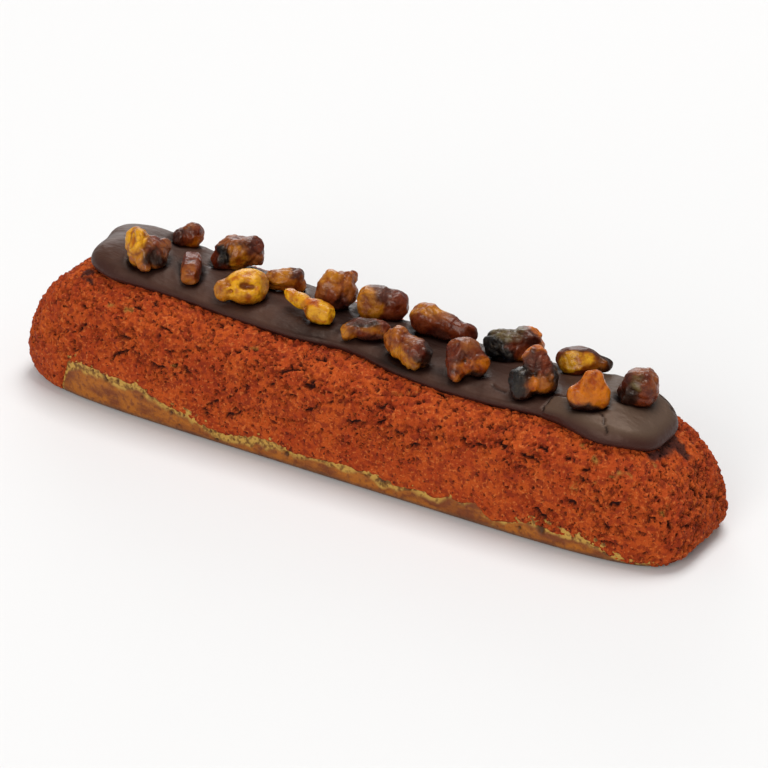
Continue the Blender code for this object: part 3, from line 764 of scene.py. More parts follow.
# marks: torn is pale crumb, sunk is painted shade in pores and holes, foot is painted shade
choux = net_object("choux_bun", choux_net, {
    "torn": with_rows(torn, 1, len(CORE_SHARES)),
    "sunk": with_rows(np.clip(strip_sunk, 0, 1), 1, len(CORE_SHARES)),
    "foot": with_rows(foot, 1, len(CORE_SHARES))}, choux_look)
settle(choux, "choux")

# %% [markdown]
# ## The ganache
#
# Ganache is chocolate melted into cream. It is laid along the top in one pass while it's warm,
# finds its own level, and sets with a satin skin and a rolled edge. It is dark brown, and greyer
# where the last spoonful lies. Its rolled side is painted darker and redder as shade, and painted
# shade makes it nearly black around the walnuts' feet, in the creases and along the middle, where
# the same mark also makes it glossier.

# %% The ganache's finish
def ganache_finish():
    """Set dark chocolate, with painted shade on its rolled side and, glossier, around the walnuts and
    in its creases.
    """
    finish = Finish("ganache", 0.4)
    clouds = finish.noise(6, 3)
    wrinkles = finish.noise(1.4, 3, (0.5, 1, 1))
    skin = finish.mix(finish.ramp(clouds, [(0.35, 0), (0.65, 1)]),
                      screen(56, 35, 28), screen(70, 46, 37))
    skin = finish.mix(finish.mark("blob"), skin, screen(78, 60, 48))
    # painted shade: the rolled edge's side, darker and redder than the lit top
    skin = finish.mix(finish.mark("edge"), skin, screen(50, 22, 19))
    # painted shade: nearly black around the walnuts, in the creases and along the middle; it also
    # lowers the roughness
    skin = finish.mix(finish.mark("shade_and_gloss"), skin, screen(16, 5, 5))
    finish.colour(skin)
    finish.join(finish.ramp(finish.mark("shade_and_gloss"), [(0.2, 0.45), (0.9, 0.36)]),
                finish.shader.inputs["Roughness"])
    finish.relief(finish.bump(wrinkles, 0.2))
    finish.shader.inputs["Specular Tint"].default_value = screen(255, 222, 200)
    finish.shader.inputs["Specular IOR Level"].default_value = 0.3
    return finish.done()


ganache_look = ganache_finish()

# %% [markdown]
# The band is thicker and wider where the pass began and where it was lifted off, and narrowest in
# between. Its ends come from the frame, and its two edges are waves with a few humps. The outline
# can be drawn in by an inset, which is how the rolled edge and the top get their rows.

# %% The band's outline and thickness
band_low, band_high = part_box("ganache")
BAND_SLANT = 2.6              # millimetres: the start's far corner reaches this much further
BAND_MIDDLE = ((band_low.x + band_high.x) / MM + BAND_SLANT) / 2
BAND_REACH = ((band_high.x - band_low.x) / MM - BAND_SLANT) / 2
BAND_FRONT, BAND_BACK = 10.2, 7.0
BAND_START_SQUARENESS, BAND_END_SQUARENESS = 7.0, 3.8
FULL_SLANT = 3.4              # what it would be if that corner weren't rounded
THICKNESS, END_THICKNESS, START_THICKNESS = 2.3, 1.2, 2.0
THIN_RIM = 0.68


def band_half_width(x, front):
    """The band's reach from the middle line, at the front or the back."""
    shift = np.where(front, 0, 2)
    wander = 0.3 * np.cos(x / 7.5 + shift) + 0.2 * np.cos(x / 3.9 + 2 * shift)
    spread = bulge(x, 2.1, -57, 7) + 3.1 * smooth_step(x, 46.5, 59.5)
    narrow = bulge(x, 2.8, 1, 9) + bulge(x, 1.1, 43.4, 6)
    spread_back = 4.5 * smooth_step(x, 30, 55) + bulge(x, 1.0, -56, 12)
    return wander + np.where(front, BAND_FRONT + spread - narrow, BAND_BACK + spread_back)


def band_thickness(x):
    """Millimetres of ganache along the middle."""
    end, start = END_THICKNESS * smooth_step(x, 40, 54), bulge(x, START_THICKNESS, -53, 11)
    return THICKNESS + end + start


def rim_share(x, y):
    """How much of its thickness the band keeps at its edge: less only along the front."""
    full = smooth_step(x, 42, 54) + bulge(x, 1, -60, 8) + smooth_step(y, 1, 4)
    return THIN_RIM + (1 - THIN_RIM) * np.minimum(full, 1)


def band_outline(around, inset):
    """Places in plan on the band's outline drawn in by an inset, and their spine bases."""
    base, east, north = around_spine(around, BAND_FRONT)
    width = np.maximum(band_half_width(BAND_MIDDLE + base, north < 0) - inset, 0.05)
    squareness = np.where(base < 0, BAND_START_SQUARENESS, BAND_END_SQUARENESS)
    radius = squircle(base, east, north, BAND_REACH - inset, width, squareness, 20)
    x, y = BAND_MIDDLE + base + radius * east, radius * north
    slant = FULL_SLANT * smooth_step(x, -46, -57) * np.clip((y + 9) / 16, 0, 1)
    return x - slant, y, BAND_MIDDLE + base


print("band from", round(BAND_MIDDLE - BAND_REACH, 1), "to", round(BAND_MIDDLE + BAND_REACH, 1))

# %% [markdown]
# The net starts hidden under the crown, goes out to the band's foot, rolls around the edge in an arc,
# and climbs over the gently domed top to the middle line. Every row stands on the loaf's own top,
# so the ganache follows the sag and the slope.

# %% The band's net
BAND_COLUMNS, RIM_ROWS, TOP_ROWS = 960, 14, 30
BURIED, TUCKED = 0.5, 0.35    # the hidden rows lie this far under the crown, in millimetres
around = np.arange(BAND_COLUMNS) / BAND_COLUMNS
outline_x, outline_y, spine_x = band_outline(around, 0)
edge_share = rim_share(outline_x, outline_y)
thick = band_thickness(outline_x) * edge_share / 2
spine_z = crown_height(spine_x, 0 * spine_x)
rows = [np.stack([spine_x, 0 * spine_x, spine_z - BURIED], -1)]
edge_rows = [np.ones(BAND_COLUMNS)]
for turn in np.radians(np.linspace(-80, 90, RIM_ROWS)):
    x, y, _ = band_outline(around, thick * (1 - np.cos(turn)))
    lift = thick * (1 + np.sin(turn)) - TUCKED * (turn < -1)
    rows.append(np.stack([x, y, crown_height(x, y) + lift], -1))
    # the edge mark is painted shade on the rolled side, fading out over the top of the roll
    edge_rows.append(np.full(BAND_COLUMNS, 1 - smooth_step(math.degrees(turn), 0, 75)))
inner_x, inner_y, _ = band_outline(around, thick)
for share in np.linspace(0, 1, TOP_ROWS + 1)[1:]:
    x, y = inner_x + (spine_x - inner_x) * share, inner_y * (1 - share)
    dome = edge_share + (1 - edge_share) * (1 - (1 - share) ** 2.5)
    rows.append(np.stack([x, y, crown_height(x, y) + band_thickness(x) * dome], -1))
    edge_rows.append(np.zeros(BAND_COLUMNS))
band, band_edge = np.stack(rows, 1), np.stack(edge_rows, 1)
band_out = outward(band)
print("ganache net:", band.shape)

# %% [markdown]
# The walnuts pressed hollows into the ganache while it was soft. We measure each point's distance
# to the nearest walnut of the frame, so that every hollow sits exactly where its walnut is.

# %% How far the walnuts are
WALNUTS = sorted(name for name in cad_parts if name.startswith("walnut"))
NEAR = 3                      # millimetres
nut_distance = np.full(band.shape[:2], FAR)
for name in WALNUTS:
    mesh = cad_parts[name].data
    tree = BVHTree.FromPolygons([vertex.co / MM for vertex in mesh.vertices],
                                [polygon.vertices for polygon in mesh.polygons])
    low, high = (np.array(corner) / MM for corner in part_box(name))
    close = np.all((band > low - NEAR) & (band < high + NEAR), axis=-1)
    for column, row in np.argwhere(close):
        found = tree.find_nearest(Vector(band[column, row]), NEAR)
        if found[3] is not None:
            nut_distance[column, row] = min(nut_distance[column, row], found[3])
print("band points near a walnut:", int((nut_distance < NEAR).sum()))

# %% [markdown]
# As the ganache was lifted off, its last spoonful folded over what already lay there. That left a
# low step with a crease along it, and the setting skin cracked across the front. Each crease is a
# groove along a line, and the line is warped a little first so that it doesn't look ruled.

# %% Creases
def line_distance(points, places):
    """Distance in plan to a line through places."""
    nearest = np.full(points.shape[:-1], np.inf)
    for start, stop in zip(places[:-1], places[1:]):
        start, run = np.array(start), np.array(stop) - np.array(start)
        offset = points[..., :2] - start
        share = np.clip((offset @ run) / (run @ run), 0, 1)
        nearest = np.minimum(nearest, np.linalg.norm(offset - share[..., None] * run, axis=-1))
    return nearest


def groove(places, width, depth):
    """A groove in the band along a line through places."""
    return -bulge(line_distance(ragged_band, places), depth, 0, width)


OVERLAP = ((47.9, -4.5), (46.1, -4.7), (44.8, -4.9), (44.6, -6.2), (44.4, -8.0), (44.8, -10.0),
           (45.8, -11.4))
CRACK = ((55.2, -6.7), (56.6, -7.6), (57.2, -8.8), (58.7, -10.2), (59.3, -11.2))
END_LINE = ((60.5, 7.0), (62.2, 6.4), (63.9, 5.0))
SMALL_CREASE = ((32.2, -6.2), (33.4, -6.9), (35.6, -7.2))
on_top = 1 - band_edge
ragged_band = warp(warp(band, 1.5, 0.35, 114), 0.5, 0.12, 117)
creases = groove(OVERLAP, 0.24, 0.42) + groove(CRACK, 0.13, 0.5)
creases = creases + groove(END_LINE, 0.25, 0.35) + groove(SMALL_CREASE, 0.3, 0.3)
creases = creases * smooth_step(on_top, 0.3, 0.9)
print("deepest crease in mm:", round(float(-creases.min()), 2))

# %% [markdown]
# Now the relief is added up: a slow slump, the step, the raised far corner of the start, the
# hollows with their faint rims, and the creases.

# %% The ganache's relief
STEP_Y, STEP_X = (-12, -10, -8, -6.2, -4.8), (46.3, 44.8, 44.4, 44.6, 45)
STEP_UP, CORNER_UP = 0.4, 0.8
past = band[..., 0] - np.interp(band[..., 1], STEP_Y, STEP_X)
front_part = 1 - smooth_step(band[..., 1], -5.4, -4.2)
step_up = STEP_UP * smooth_step(past, -0.1, 0.35) * (1 - smooth_step(past, 2, 9)) * front_part
hollow = bulge(nut_distance, 0.06, 1.5, 0.6) - bulge(nut_distance, 0.3, 0, 0.8)
slump = (0.1 * soft_noise(band, 12, 111) + 0.03 * soft_noise(band, 5, 112)
         + 0.015 * soft_noise(band, 1.6, 113)) * on_top
far_corner = CORNER_UP * bulge(band[..., 0], 1, -63, 4) * smooth_step(band[..., 1], -2, 4)
band_relief = slump + far_corner + step_up * smooth_step(on_top, 0, 0.5) + hollow * on_top + creases
band_relief[:, :2] = 0
band_net = band + band_relief[..., None] * band_out
band_net[:, -1] = band[:, -1]
print("relief from", round(band_relief.min(), 2), "to", round(band_relief.max(), 2), "mm")

# %% [markdown]
# Painted shade darkens the band around the walnuts' feet, in the creases, and along the middle of
# the band, where the pieces lie closest together. The same mark makes those places glossier.

# %% The ganache's marks and mesh
blob = smooth_step(past, -0.2, 0.5 + 5 * (1 - front_part)) * on_top
spread_out = np.maximum(1.2 + 0.8 * soft_noise(band, 3, 119), 0.4)
# painted shade along the middle of the band, between the walnuts
middle_shade = 0.35 + 0.65 * smooth_step(soft_noise(band * (1, 2, 2), 7, 121), -0.25, 0.4)
middle_shade = middle_shade * bulge(band[..., 0], 1, 8, 28)
# painted shade around each walnut's foot, then in the creases
shade_and_gloss = np.minimum(bulge(nut_distance, 1.5, 0, spread_out), 1) * on_top
shade_and_gloss = np.maximum(shade_and_gloss, middle_shade * (0.4 + 0.6 * on_top))
shade_and_gloss = np.maximum(shade_and_gloss, np.clip(-3 * creases, 0, 1))
ganache = net_object("ganache_band", band_net, {
    "edge": band_edge, "shade_and_gloss": shade_and_gloss, "blob": blob}, ganache_look)
settle(ganache, "ganache")

# %% [markdown]
# ## The walnuts
#
# A walnut kernel is folded like a little brain, and it has a thin skin, red-brown to nearly black.
# Chopping breaks it into pieces with flat pale faces where the flesh shows, and a last turn in hot
# caramel makes flesh amber and skin glossy. So each piece here starts as the frame's plain form,
# gets the folds of the skin, is clipped a little all round, and is then cut by flat planes.
#
# Places on a piece are given as someone sees them who looks at the eclair from its front corner:
# how far right and how far up from the piece's middle, where 1 is its outline.

# %% The viewer's directions, and the colours
VIEW_TURN, VIEW_RISE = math.radians(33.3), math.radians(28)
TO_RIGHT = np.array([math.cos(VIEW_TURN), math.sin(VIEW_TURN), 0])
TO_VIEWER = np.array([math.sin(VIEW_TURN), -math.cos(VIEW_TURN), 0])
UPRIGHT = np.array([0, 0, 1.0])
TO_EYE = TO_VIEWER * math.cos(VIEW_RISE) + UPRIGHT * math.sin(VIEW_RISE)
IN_VIEW = np.stack([TO_RIGHT, np.cross(TO_EYE, TO_RIGHT), TO_EYE])
COLOURS = {
    "yellow": screen(210, 150, 16), "ochre": screen(168, 104, 14), "amber": screen(148, 80, 12),
    "orange": screen(180, 96, 2), "tan": screen(130, 70, 28), "rust": screen(106, 42, 16),
    "plum": screen(78, 36, 26), "bark": screen(36, 14, 8), "ink": screen(10, 13, 17),
    "moss": screen(84, 72, 40)}
print(len(COLOURS), "colours, seen from", [round(float(value), 2) for value in TO_EYE])

# %% [markdown]
# Every piece has its own patches of colour, from pale flesh to burnt skin. A patch is a place and
# a colour. If the knife made it, a last number says what share of the piece's reach the cut leaves,
# so a flat face and its colour always lie together.

# %% The walnuts' patches
PATCHES = {
    "walnut_01": ((-.55, .75, "yellow", .92), (-.8, .2, "yellow", .85), (-.25, .3, "yellow"),
                 (.28, .2, "rust"), (.88, .15, "tan"), (.2, -.3, "bark"), (0, -.9, "amber"),
                 (-.55, -.4, "ochre"), (.55, -.45, "bark"), (.6, .6, "rust")),
    "walnut_02": ((.1, .8, "tan"), (-.65, .1, "plum", .85), (0, .15, "plum", .85),
                 (.7, -.5, "orange", .85), (.1, -.3, "rust"), (.7, .3, "rust")),
    "walnut_03": ((0, .9, "rust", .9), (-.1, .2, "tan", .8), (-.1, -.5, "amber", .85),
                 (.85, 0, "rust")),
    "walnut_04": ((-.1, .8, "tan"), (0, 0, "ochre", .85), (.2, -.5, "ochre"), (-.6, -.25, "ink"),
                 (-.95, -.3, "rust"), (.42, .2, "plum"), (.8, .2, "rust", .9), (.7, -.4, "tan")),
    "walnut_05": ((0, .7, "yellow"), (-.1, -.2, "yellow"), (.5, -.1, "yellow"), (.3, -.8, "ochre"),
                 (-.9, .1, "ochre"), (.9, -.1, "ochre")),
    "walnut_06": ((-.35, .2, "ochre", .85), (0, .75, "ochre"), (.65, .5, "plum"),
                 (.75, -.2, "amber"), (.1, -.6, "amber"), (-.9, .1, "ochre")),
    "walnut_07": ((-.75, .7, "yellow"), (-.5, .2, "ochre"), (-.1, .5, "orange"),
                 (.2, -.4, "yellow"), (.75, -.1, "yellow"), (-.3, -.6, "amber")),
    "walnut_08": ((-.3, .5, "ochre"), (-.85, 0, "tan"), (.1, .1, "amber", .9), (.75, .6, "amber"),
                 (.85, -.1, "tan"), (.2, -.75, "plum"), (-.3, -.5, "rust")),
    "walnut_09": ((-.5, -.25, "ochre", .82), (-.6, .5, "ochre"), (-.15, .8, "plum", .9),
                 (.5, .2, "rust", .9), (.5, -.6, "rust"), (.15, .3, "plum")),
    "walnut_10": ((-.8, -.25, "ochre"), (-.1, .7, "plum", .75), (.25, 0, "ochre", .85),
                 (.8, .3, "rust"), (-.35, -.4, "rust"), (.3, -.8, "plum"), (.2, .5, "bark")),
    "walnut_11": ((-.65, .7, "amber"), (0, .3, "tan", .9), (.2, .8, "tan"), (-.5, -.5, "ochre"),
                 (.6, -.4, "bark"), (.1, -.9, "ochre"), (.25, -.1, "rust")),
    "walnut_12": ((-.5, 1.1, "ochre"), (-.85, .1, "rust"), (-.2, 0, "rust", .9),
                 (.5, -.3, "rust", .9), (.95, -.2, "plum"), (-.3, -.75, "plum"), (-.3, .5, "tan")),
    "walnut_13": ((0, .8, "tan"), (-.7, .2, "rust", .9), (.5, .3, "rust"), (-.35, -.15, "plum"),
                 (.5, -.25, "orange", .85), (-.2, -.5, "orange"), (-.7, -.7, "rust"),
                 (.3, -.8, "bark")),
    "walnut_14": ((-.8, 0, "ink"), (-.1, .7, "moss"), (.95, .35, "orange"), (.2, -.4, "rust", .9),
                 (.8, -.5, "amber"), (-.35, -.6, "ink"), (.5, .3, "plum")),
    "walnut_15": ((.1, 1.3, "orange"), (-.15, .4, "plum", .8), (.35, .35, "rust", .85),
                 (-.75, -.05, "ink"), (0, -.1, "bark"), (-.05, -.55, "orange", .85),
                 (.45, -.5, "amber"), (.85, -.1, "bark"), (-.7, -.6, "ink"), (.1, -1.2, "bark")),
    "walnut_16": ((-.4, -.1, "yellow", .72), (.2, 0, "yellow", .8), (-.4, .95, "plum"),
                 (.3, .85, "plum"), (-.95, .2, "rust"), (.5, -.35, "amber"), (.95, -.2, "bark"),
                 (0, -1, "rust"), (-.75, -.15, "yellow")),
    "walnut_17": ((0, .1, "orange", .75), (-.2, .7, "orange", .9), (.6, -.3, "orange"),
                 (-.4, -1.5, "bark"), (-.5, -.2, "orange")),
    "walnut_18": ((-.1, .8, "tan"), (-.1, .2, "moss"), (-.65, .4, "plum", .9), (-.5, -.45, "bark"),
                 (.75, .25, "tan", .9), (.25, -.6, "rust"), (.3, .3, "rust")),
}
print(sum(len(patches) for patches in PATCHES.values()), "patches on", len(PATCHES), "pieces")

# %% [markdown]
# A few pieces also have dents, each with the skin in its hollow. Some pieces are smoother than
# the rest, because the caramel lies thicker on them, and some have their lumps melted together.

# %% Dents, smooth pieces and chips
# a dent: how far right, how far up, how wide, how deep in millimetres, and its colour
DENTS = {
    "walnut_01": ((.35, -.2, .2, .5, "bark"),),
    "walnut_04": ((-.55, -.2, .3, .2, "ink"),),
    "walnut_05": ((.14, .04, .27, 1.3, "rust"), (.4, -.02, .17, 1.0, "rust"),
                  (-.5, -.35, .16, .9, "amber"), (-.55, .1, .14, .5, "amber")),
    "walnut_07": ((-.4, -.3, .25, .8, "amber"),),
    "walnut_08": ((.1, -.65, .25, .4, "bark"),),
    "walnut_13": ((-.35, .15, .13, .5, "plum"), (-.2, -.05, .13, .6, "bark"),
                  (.05, -.15, .12, .5, "rust")),
    "walnut_15": ((.05, -.12, .2, .8, "bark"), (-.25, -.08, .16, .7, "bark")),
    "walnut_18": ((-.4, -.3, .2, .4, "bark"),)}
# the share of the usual folding, where it is less
SMOOTHER = {"walnut_03": .5, "walnut_05": .25, "walnut_07": .3, "walnut_09": .5, "walnut_10": .7,
            "walnut_12": .55, "walnut_16": .4, "walnut_17": .2}
# how far a piece is swollen for a moment, in millimetres, so that its lumps melt together
USUAL_FILL = 0.9
FILL = {"walnut_02": 1.5, "walnut_08": 1.3, "walnut_11": 1.5, "walnut_12": 2.0, "walnut_13": 1.3,
        "walnut_17": 2.2}
# where the knife clipped every piece, right and up, and the least share that it left
CHIPS = ((-.7, .6), (.7, .6), (-.9, 0), (.9, 0), (0, .3), (-.4, -.3), (.5, -.3), (0, .95))
CHIP_LEAST, CHIP_RANGE = 0.88, 0.12
print(sum(len(dents) for dents in DENTS.values()), "dents,", len(CHIPS), "chips on every piece")

# %% [markdown]
# The caramel coat is thin: it gives soft highlights and deepens the colours. The flesh under it
# lets a little light through, which takes the hardness out of the small pieces. Their colour
# itself comes from the mark named tone, which we store on each mesh when we cut it.

# %% The walnuts' finish
def walnut_finish():
    """Each piece's own colours under a thin coat of caramel."""
    finish = Finish("caramelised walnut", 0.35)
    tone = finish.add("ShaderNodeAttribute", attribute_name="tone").outputs["Color"]
    streaks = finish.noise(2.0, 3)
    flecks = finish.noise(0.8, 3)
    shaded = finish.mix(finish.ramp(streaks, [(0.36, 0.8), (0.52, 0)]), tone,
                        finish.mix(1.0, tone, screen(190, 128, 96), "MULTIPLY"))
    shaded = finish.mix(finish.ramp(flecks, [(0.32, 0.4), (0.42, 0)]), shaded,
                        finish.mix(1.0, tone, screen(160, 104, 74), "MULTIPLY"))
    finish.colour(shaded)
    finish.join(finish.ramp(streaks, [(0.3, 0.3), (0.7, 0.52)]), finish.shader.inputs["Roughness"])
    finish.relief(finish.bump(flecks, 0.25, finish.bump(streaks, 0.4)))
    finish.shader.inputs["Specular Tint"].default_value = screen(255, 226, 196)
    finish.shader.inputs["Specular IOR Level"].default_value = 0.25
    finish.shader.inputs["Coat Weight"].default_value = 0.25
    finish.shader.inputs["Coat Roughness"].default_value = 0.16
    finish.shader.inputs["Subsurface Weight"].default_value = 0.2
    finish.shader.inputs["Subsurface Radius"].default_value = (1, 0.45, 0.15)
    finish.shader.inputs["Subsurface Scale"].default_value = 1.5 * MM
    return finish.done()


walnut_look = walnut_finish()

# %% [markdown]
# The frame's plain form of a piece is a few joined lumps. We melt them into one: remesh them as
# one skin, swell it so that the necks close up, remesh again, and shrink it back. The small gaps
# stay filled and the outline stays where it was.

# %% The melted form
VOXEL, FINE_VOXEL = 0.3, 0.24     # millimetres
CALM = 0.5                        # how strongly a smoothing step moves a point


def melted_mesh(node, fill):
    """The frame's plain form as a fine, even mesh with the necks between its lumps filled."""
    draft = bpy.data.objects.new("draft", node.data.copy())
    bpy.context.scene.collection.objects.link(draft)
    steps = (("REMESH", VOXEL), ("DISPLACE", fill), ("REMESH", VOXEL), ("DISPLACE", -fill),
             ("REMESH", FINE_VOXEL), ("SMOOTH", 3))
    for step, (kind, amount) in enumerate(steps):
        change = draft.modifiers.new(f"step {step}", kind)
        if kind == "REMESH":
            change.mode, change.voxel_size = "VOXEL", amount * MM
        elif kind == "DISPLACE":
            change.mid_level, change.strength = 0, amount * MM
        else:
            change.factor, change.iterations = CALM, amount
    graph = bpy.context.evaluated_depsgraph_get()
    mesh = bpy.data.meshes.new_from_object(draft.evaluated_get(graph))
    bpy.data.objects.remove(draft)
    return mesh


def read_rows(rows, key):
    """The places or directions of a mesh's points."""
    values = np.zeros(len(rows) * 3)
    rows.foreach_get(key, values)
    return values.reshape(-1, 3)


print("a voxel is", VOXEL, "mm, then", FINE_VOXEL, "mm")

# %% [markdown]
# The tools of the knife and the brush come next. A cut presses all that lies beyond a plane onto
# it, which keeps the mesh whole. Colours are mixed or darkened point by point.

# %% The knife and the brush
PRESSED = 0.92                # how much of the way a cut presses points down to its plane
SHADE = np.array((0.5, 0.3, 0.22, 1))     # what painted shade in a deep fold leaves of a colour


def seen_at(right, up):
    """The direction of a place on a round piece, in the viewer's right, up and near."""
    direction = np.array([right, up, math.sqrt(max(1 - right ** 2 - up ** 2, 0.03))])
    return direction / np.linalg.norm(direction)


def knife(right, up, view_half):
    """The direction in which the flat face of a cut looks."""
    direction = (seen_at(right, up) / view_half) @ IN_VIEW
    return direction / np.linalg.norm(direction)


def cut_off(points, middle, direction, share):
    """Points beyond a plane are pressed onto it; the plane leaves a share of the reach."""
    reach = (points - middle) @ direction
    over = np.maximum(reach - share * np.percentile(reach, 99.5), 0)
    return points - direction * (over * PRESSED)[:, None], over


def mixed(first, second, share):
    """A colour on its way to another."""
    return first + (np.asarray(second) - first) * share[:, None]


def darkened(tone, share):
    """A colour on its way to its own shade."""
    return tone * (1 - share[:, None] * (1 - SHADE))


print("a piece's middle looks along", seen_at(0, 0), "in the viewer's directions")

# %% [markdown]
# Three functions clip a piece, cut it and lay its patches of colour, and dent it. Which patch a
# point belongs to depends on where it lies on a ball around the piece, so patches reach around to
# the back. Their borders wander a little, and a cut's rim is darkened.

# %% Chips, patches and dents
BORDER_SHARPNESS = 26
CHIP_SEED, PATCH_SEED = 300, 200


def chipped(points, middle, view_half, seed):
    """A piece that is clipped a little all round."""
    for number, chip in enumerate(CHIPS):
        luck = place_number(np.array([(seed, number, 7)]), CHIP_SEED)[0]
        share = CHIP_LEAST + CHIP_RANGE * luck
        points, _ = cut_off(points, middle, knife(*chip, view_half), share)
    return points


def patched(points, middle, view_half, on_ball, patches, seed):
    """A piece with its cuts made, and the colour of each of its points."""
    weights, tones = [], []
    for number, (right, up, colour, *cut) in enumerate(patches):
        over = np.full(len(points), FAR)
        if cut:
            points, over = cut_off(points, middle, knife(right, up, view_half), cut[0])
        uneven = 0.09 * soft_noise(points, 1.8, PATCH_SEED + 10 * seed + number)
        uneven = uneven + 0.06 * soft_noise(points, 0.8, PATCH_SEED + 10 + 10 * seed + number)
        weights.append(np.exp(BORDER_SHARPNESS * (on_ball @ seen_at(right, up) + uneven)))
        rim = bulge(over, 1, 0.15, 0.2)
        tones.append(darkened(np.broadcast_to(COLOURS[colour], (len(points), 4)), 0.35 * rim))
    weights = np.stack(weights, 0)
    weights = weights / weights.sum(0)
    tone = (weights[..., None] * np.stack(tones, 0)).sum(0)
    return points, darkened(tone, 0.15 * smooth_step(1 - weights.max(0), 0.2, 0.5))


def dented(points, tone, on_ball, dents):
    """A piece with its dents, and the skin in their hollows."""
    for right, up, width, deep, colour in dents:
        direction = seen_at(right, up)
        apart = np.linalg.norm(on_ball - direction, axis=1)
        dent = bulge(apart, 1, 0, width * (1 + 0.3 * soft_noise(points, 1.5, 180)))
        points = points - (direction @ IN_VIEW) * (deep * dent)[:, None]
        tone = mixed(tone, COLOURS[colour], 0.9 * smooth_step(dent, 0.35, 0.7))
    return points, tone


print("a chip leaves", CHIP_LEAST, "of the reach or more")

# %% [markdown]
# Now one piece from start to end: melt it, sink its foot into the ganache, fold it, clip and cut
# it, wrinkle it and dent it. The folds are where soft noise passes through zero, which happens
# along winding lines, just like the furrows of a kernel. Their valleys get painted shade, and so
# does each piece's foot, which is darkened towards bark where the ganache shades it.

# %% One walnut piece
SINK = 0.8                    # millimetres that a piece's foot reaches down into the ganache
LARGE_FOLD, SMALL_FOLD, WRINKLE = 0.9, 0.34, 0.16


def cut_walnut(name, seed):
    """One chopped piece with folds, flat cuts, and its colours stored on the mesh."""
    mesh = melted_mesh(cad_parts[name], FILL.get(name, USUAL_FILL))
    points, facing = read_rows(mesh.vertices, "co") / MM, read_rows(mesh.vertices, "normal")
    centre = (points[:, 2].max() + points[:, 2].min()) / 2
    depth = np.clip((centre - points[:, 2]) / (centre - points[:, 2].min()), 0, 1)
    points[:, 2] -= SINK * depth ** 2
    view = points @ IN_VIEW.T
    view_middle, view_half = (view.max(0) + view.min(0)) / 2, (view.max(0) - view.min(0)) / 2
    middle = view_middle @ IN_VIEW
    on_ball = (view - view_middle) / view_half
    on_ball = on_ball / np.linalg.norm(on_ball, axis=1)[:, None]

    folding = SMOOTHER.get(name, 1)
    inside = warp(points + 40 * seed, 3.5, 1.0, 160)
    large_fold = np.abs(soft_noise(inside, 3.4, 120 + seed))
    small_fold = np.abs(soft_noise(inside, 1.3, 140 + seed))
    wrinkle = np.abs(soft_noise(inside, 0.7, 150 + seed))
    valley = folding * (1 - smooth_step(large_fold, 0.02, 0.2))
    crease = folding * (1 - smooth_step(small_fold, 0.02, 0.22))

    points = points + facing * (folding * (LARGE_FOLD * large_fold - 0.1))[:, None]
    points = chipped(points, middle, view_half, seed)
    points, tone = patched(points, middle, view_half, on_ball, PATCHES[name], seed)
    # painted shade in the fold valleys and creases
    tone = darkened(darkened(tone, 0.8 * valley), 0.6 * crease)
    fine_folds = SMALL_FOLD * small_fold + WRINKLE * wrinkle - 0.12
    points = points + facing * (folding * fine_folds)[:, None]
    points, tone = dented(points, tone, on_ball, DENTS.get(name, ()))
    # painted shade: each piece darkens towards bark near its foot, where the ganache shades it
    tone = mixed(tone, COLOURS["bark"], 0.85 * smooth_step(depth, 0.5, 0.95))
    return coated_piece(name, mesh, points, tone)


def coated_piece(name, mesh, points, tone):
    """The finished piece, with its points and colours written back to its mesh."""
    mesh.vertices.foreach_set("co", (points * MM).ravel())
    colours = mesh.attributes.new("tone", "FLOAT_COLOR", "POINT")
    colours.data.foreach_set("color", tone.astype(np.float32).ravel())
    mesh.materials.clear()
    mesh.materials.append(walnut_look)
    mesh.shade_smooth()
    piece = bpy.data.objects.new(name.replace("walnut", "walnut_piece"), mesh)
    bpy.context.scene.collection.objects.link(piece)
    soften = piece.modifiers.new("round the cuts", "SMOOTH")
    soften.factor, soften.iterations = CALM, 1
    return piece


for number, name in enumerate(WALNUTS):
    piece = cut_walnut(name, number)
    settle(piece, name)
    print(piece.name, "faces:", len(piece.data.polygons))

# %% [markdown]
# ## The table
#
# Food is often shown on plain white, so that nothing distracts from its surfaces. A large pale
# floor, just under white, catches the soft shadow at the bun's foot.

# %% Table
FLOOR_HALF = 3.0              # metres
PAPER = (0.745, 0.74, 0.735, 1)
floor_mesh = bpy.data.meshes.new("floor")
corners = [(-FLOOR_HALF, -FLOOR_HALF, 0), (FLOOR_HALF, -FLOOR_HALF, 0),
           (FLOOR_HALF, FLOOR_HALF, 0), (-FLOOR_HALF, FLOOR_HALF, 0)]
floor_mesh.from_pydata(corners, [], [(0, 1, 2, 3)])
floor = bpy.data.objects.new("floor", floor_mesh)
floor.location.z = cad_low.z
bpy.context.scene.collection.objects.link(floor)
paper = Finish("white table", 0.9)
paper.colour(PAPER)
floor_mesh.materials.append(paper.done())
floor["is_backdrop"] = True

# %% [markdown]
# ## The light
#
# Broad lamps make soft shadows. The world gives even light from all around, one large lamp above
# gives the ganache its sheen, one from the front keeps the side readable, and a weak one behind
# lifts the far edge off the table.

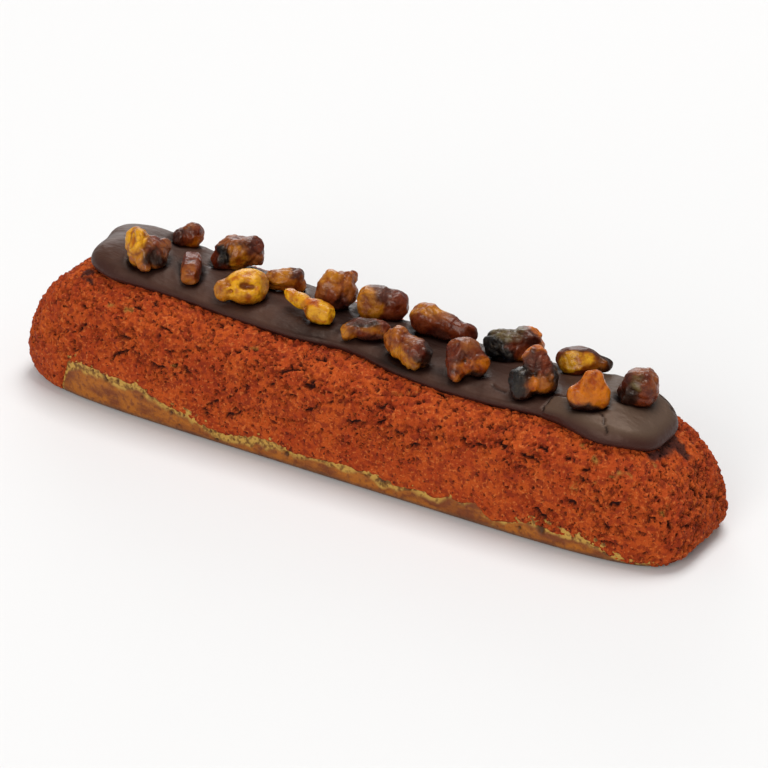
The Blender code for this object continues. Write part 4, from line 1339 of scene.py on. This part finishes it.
# %% Light
WORLD_STRENGTH = 0.38
LAMP_AIM = Vector((0, 0, 0.01))
world = bpy.data.worlds.new("studio")
world.use_nodes = True
background = world.node_tree.nodes["Background"]
background.inputs["Color"].default_value = (1, 1, 1, 1)
background.inputs["Strength"].default_value = WORLD_STRENGTH
bpy.context.scene.world = world


def soft_lamp(name, place, size, power):
    """A square lamp that looks at the bun, with its size in metres and its power in watts."""
    lamp = bpy.data.lights.new(name, "AREA")
    lamp.size, lamp.energy = size, power
    holder = bpy.data.objects.new(name, lamp)
    holder.location = place
    holder.rotation_euler = (LAMP_AIM - Vector(place)).to_track_quat("-Z", "Y").to_euler()
    bpy.context.scene.collection.objects.link(holder)


soft_lamp("top lamp", (0.1, 0.7, 2.8), 1.5, 62)
soft_lamp("front lamp", (0.3, -2.4, 1.1), 1.5, 38)
soft_lamp("back lamp", (-1.5, 1.9, 0.8), 1.2, 13)
bpy.context.scene.view_settings.view_transform = "Standard"
print("world strength", WORLD_STRENGTH, "and three lamps")

# %% [markdown]
# ## The camera
#
# It looks down from the front corner, along the same direction that placed the walnuts' patches.
# A long lens from far off keeps the long bun from tapering too much.

# %% Camera
CAMERA_DISTANCE, LENS, NEAREST = 0.6, 145.7, 0.01       # metres, millimetres, metres
AIM = Vector((2.9, 2.4, 12.8)) * MM
STAND = Vector((0, 0, 0.012))
camera = bpy.data.objects.new("camera", bpy.data.cameras.new("camera"))
camera.location = STAND + Vector(TO_EYE) * CAMERA_DISTANCE
camera.rotation_euler = (AIM - camera.location).to_track_quat("-Z", "Y").to_euler()
camera.data.lens = LENS
camera.data.clip_start = NEAREST
bpy.context.scene.collection.objects.link(camera)
bpy.context.scene.camera = camera
print("camera at", [round(value, 3) for value in camera.location])

# %% [markdown]
# ## The finished size
#
# The fine pieces must stay as large as the plain model. We print the finished box, to set beside
# the frame's from the first cell.

# %% Sizes
bpy.context.view_layer.update()
low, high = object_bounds()
print("finished box in mm:", [round(side / MM, 1) for side in high - low])
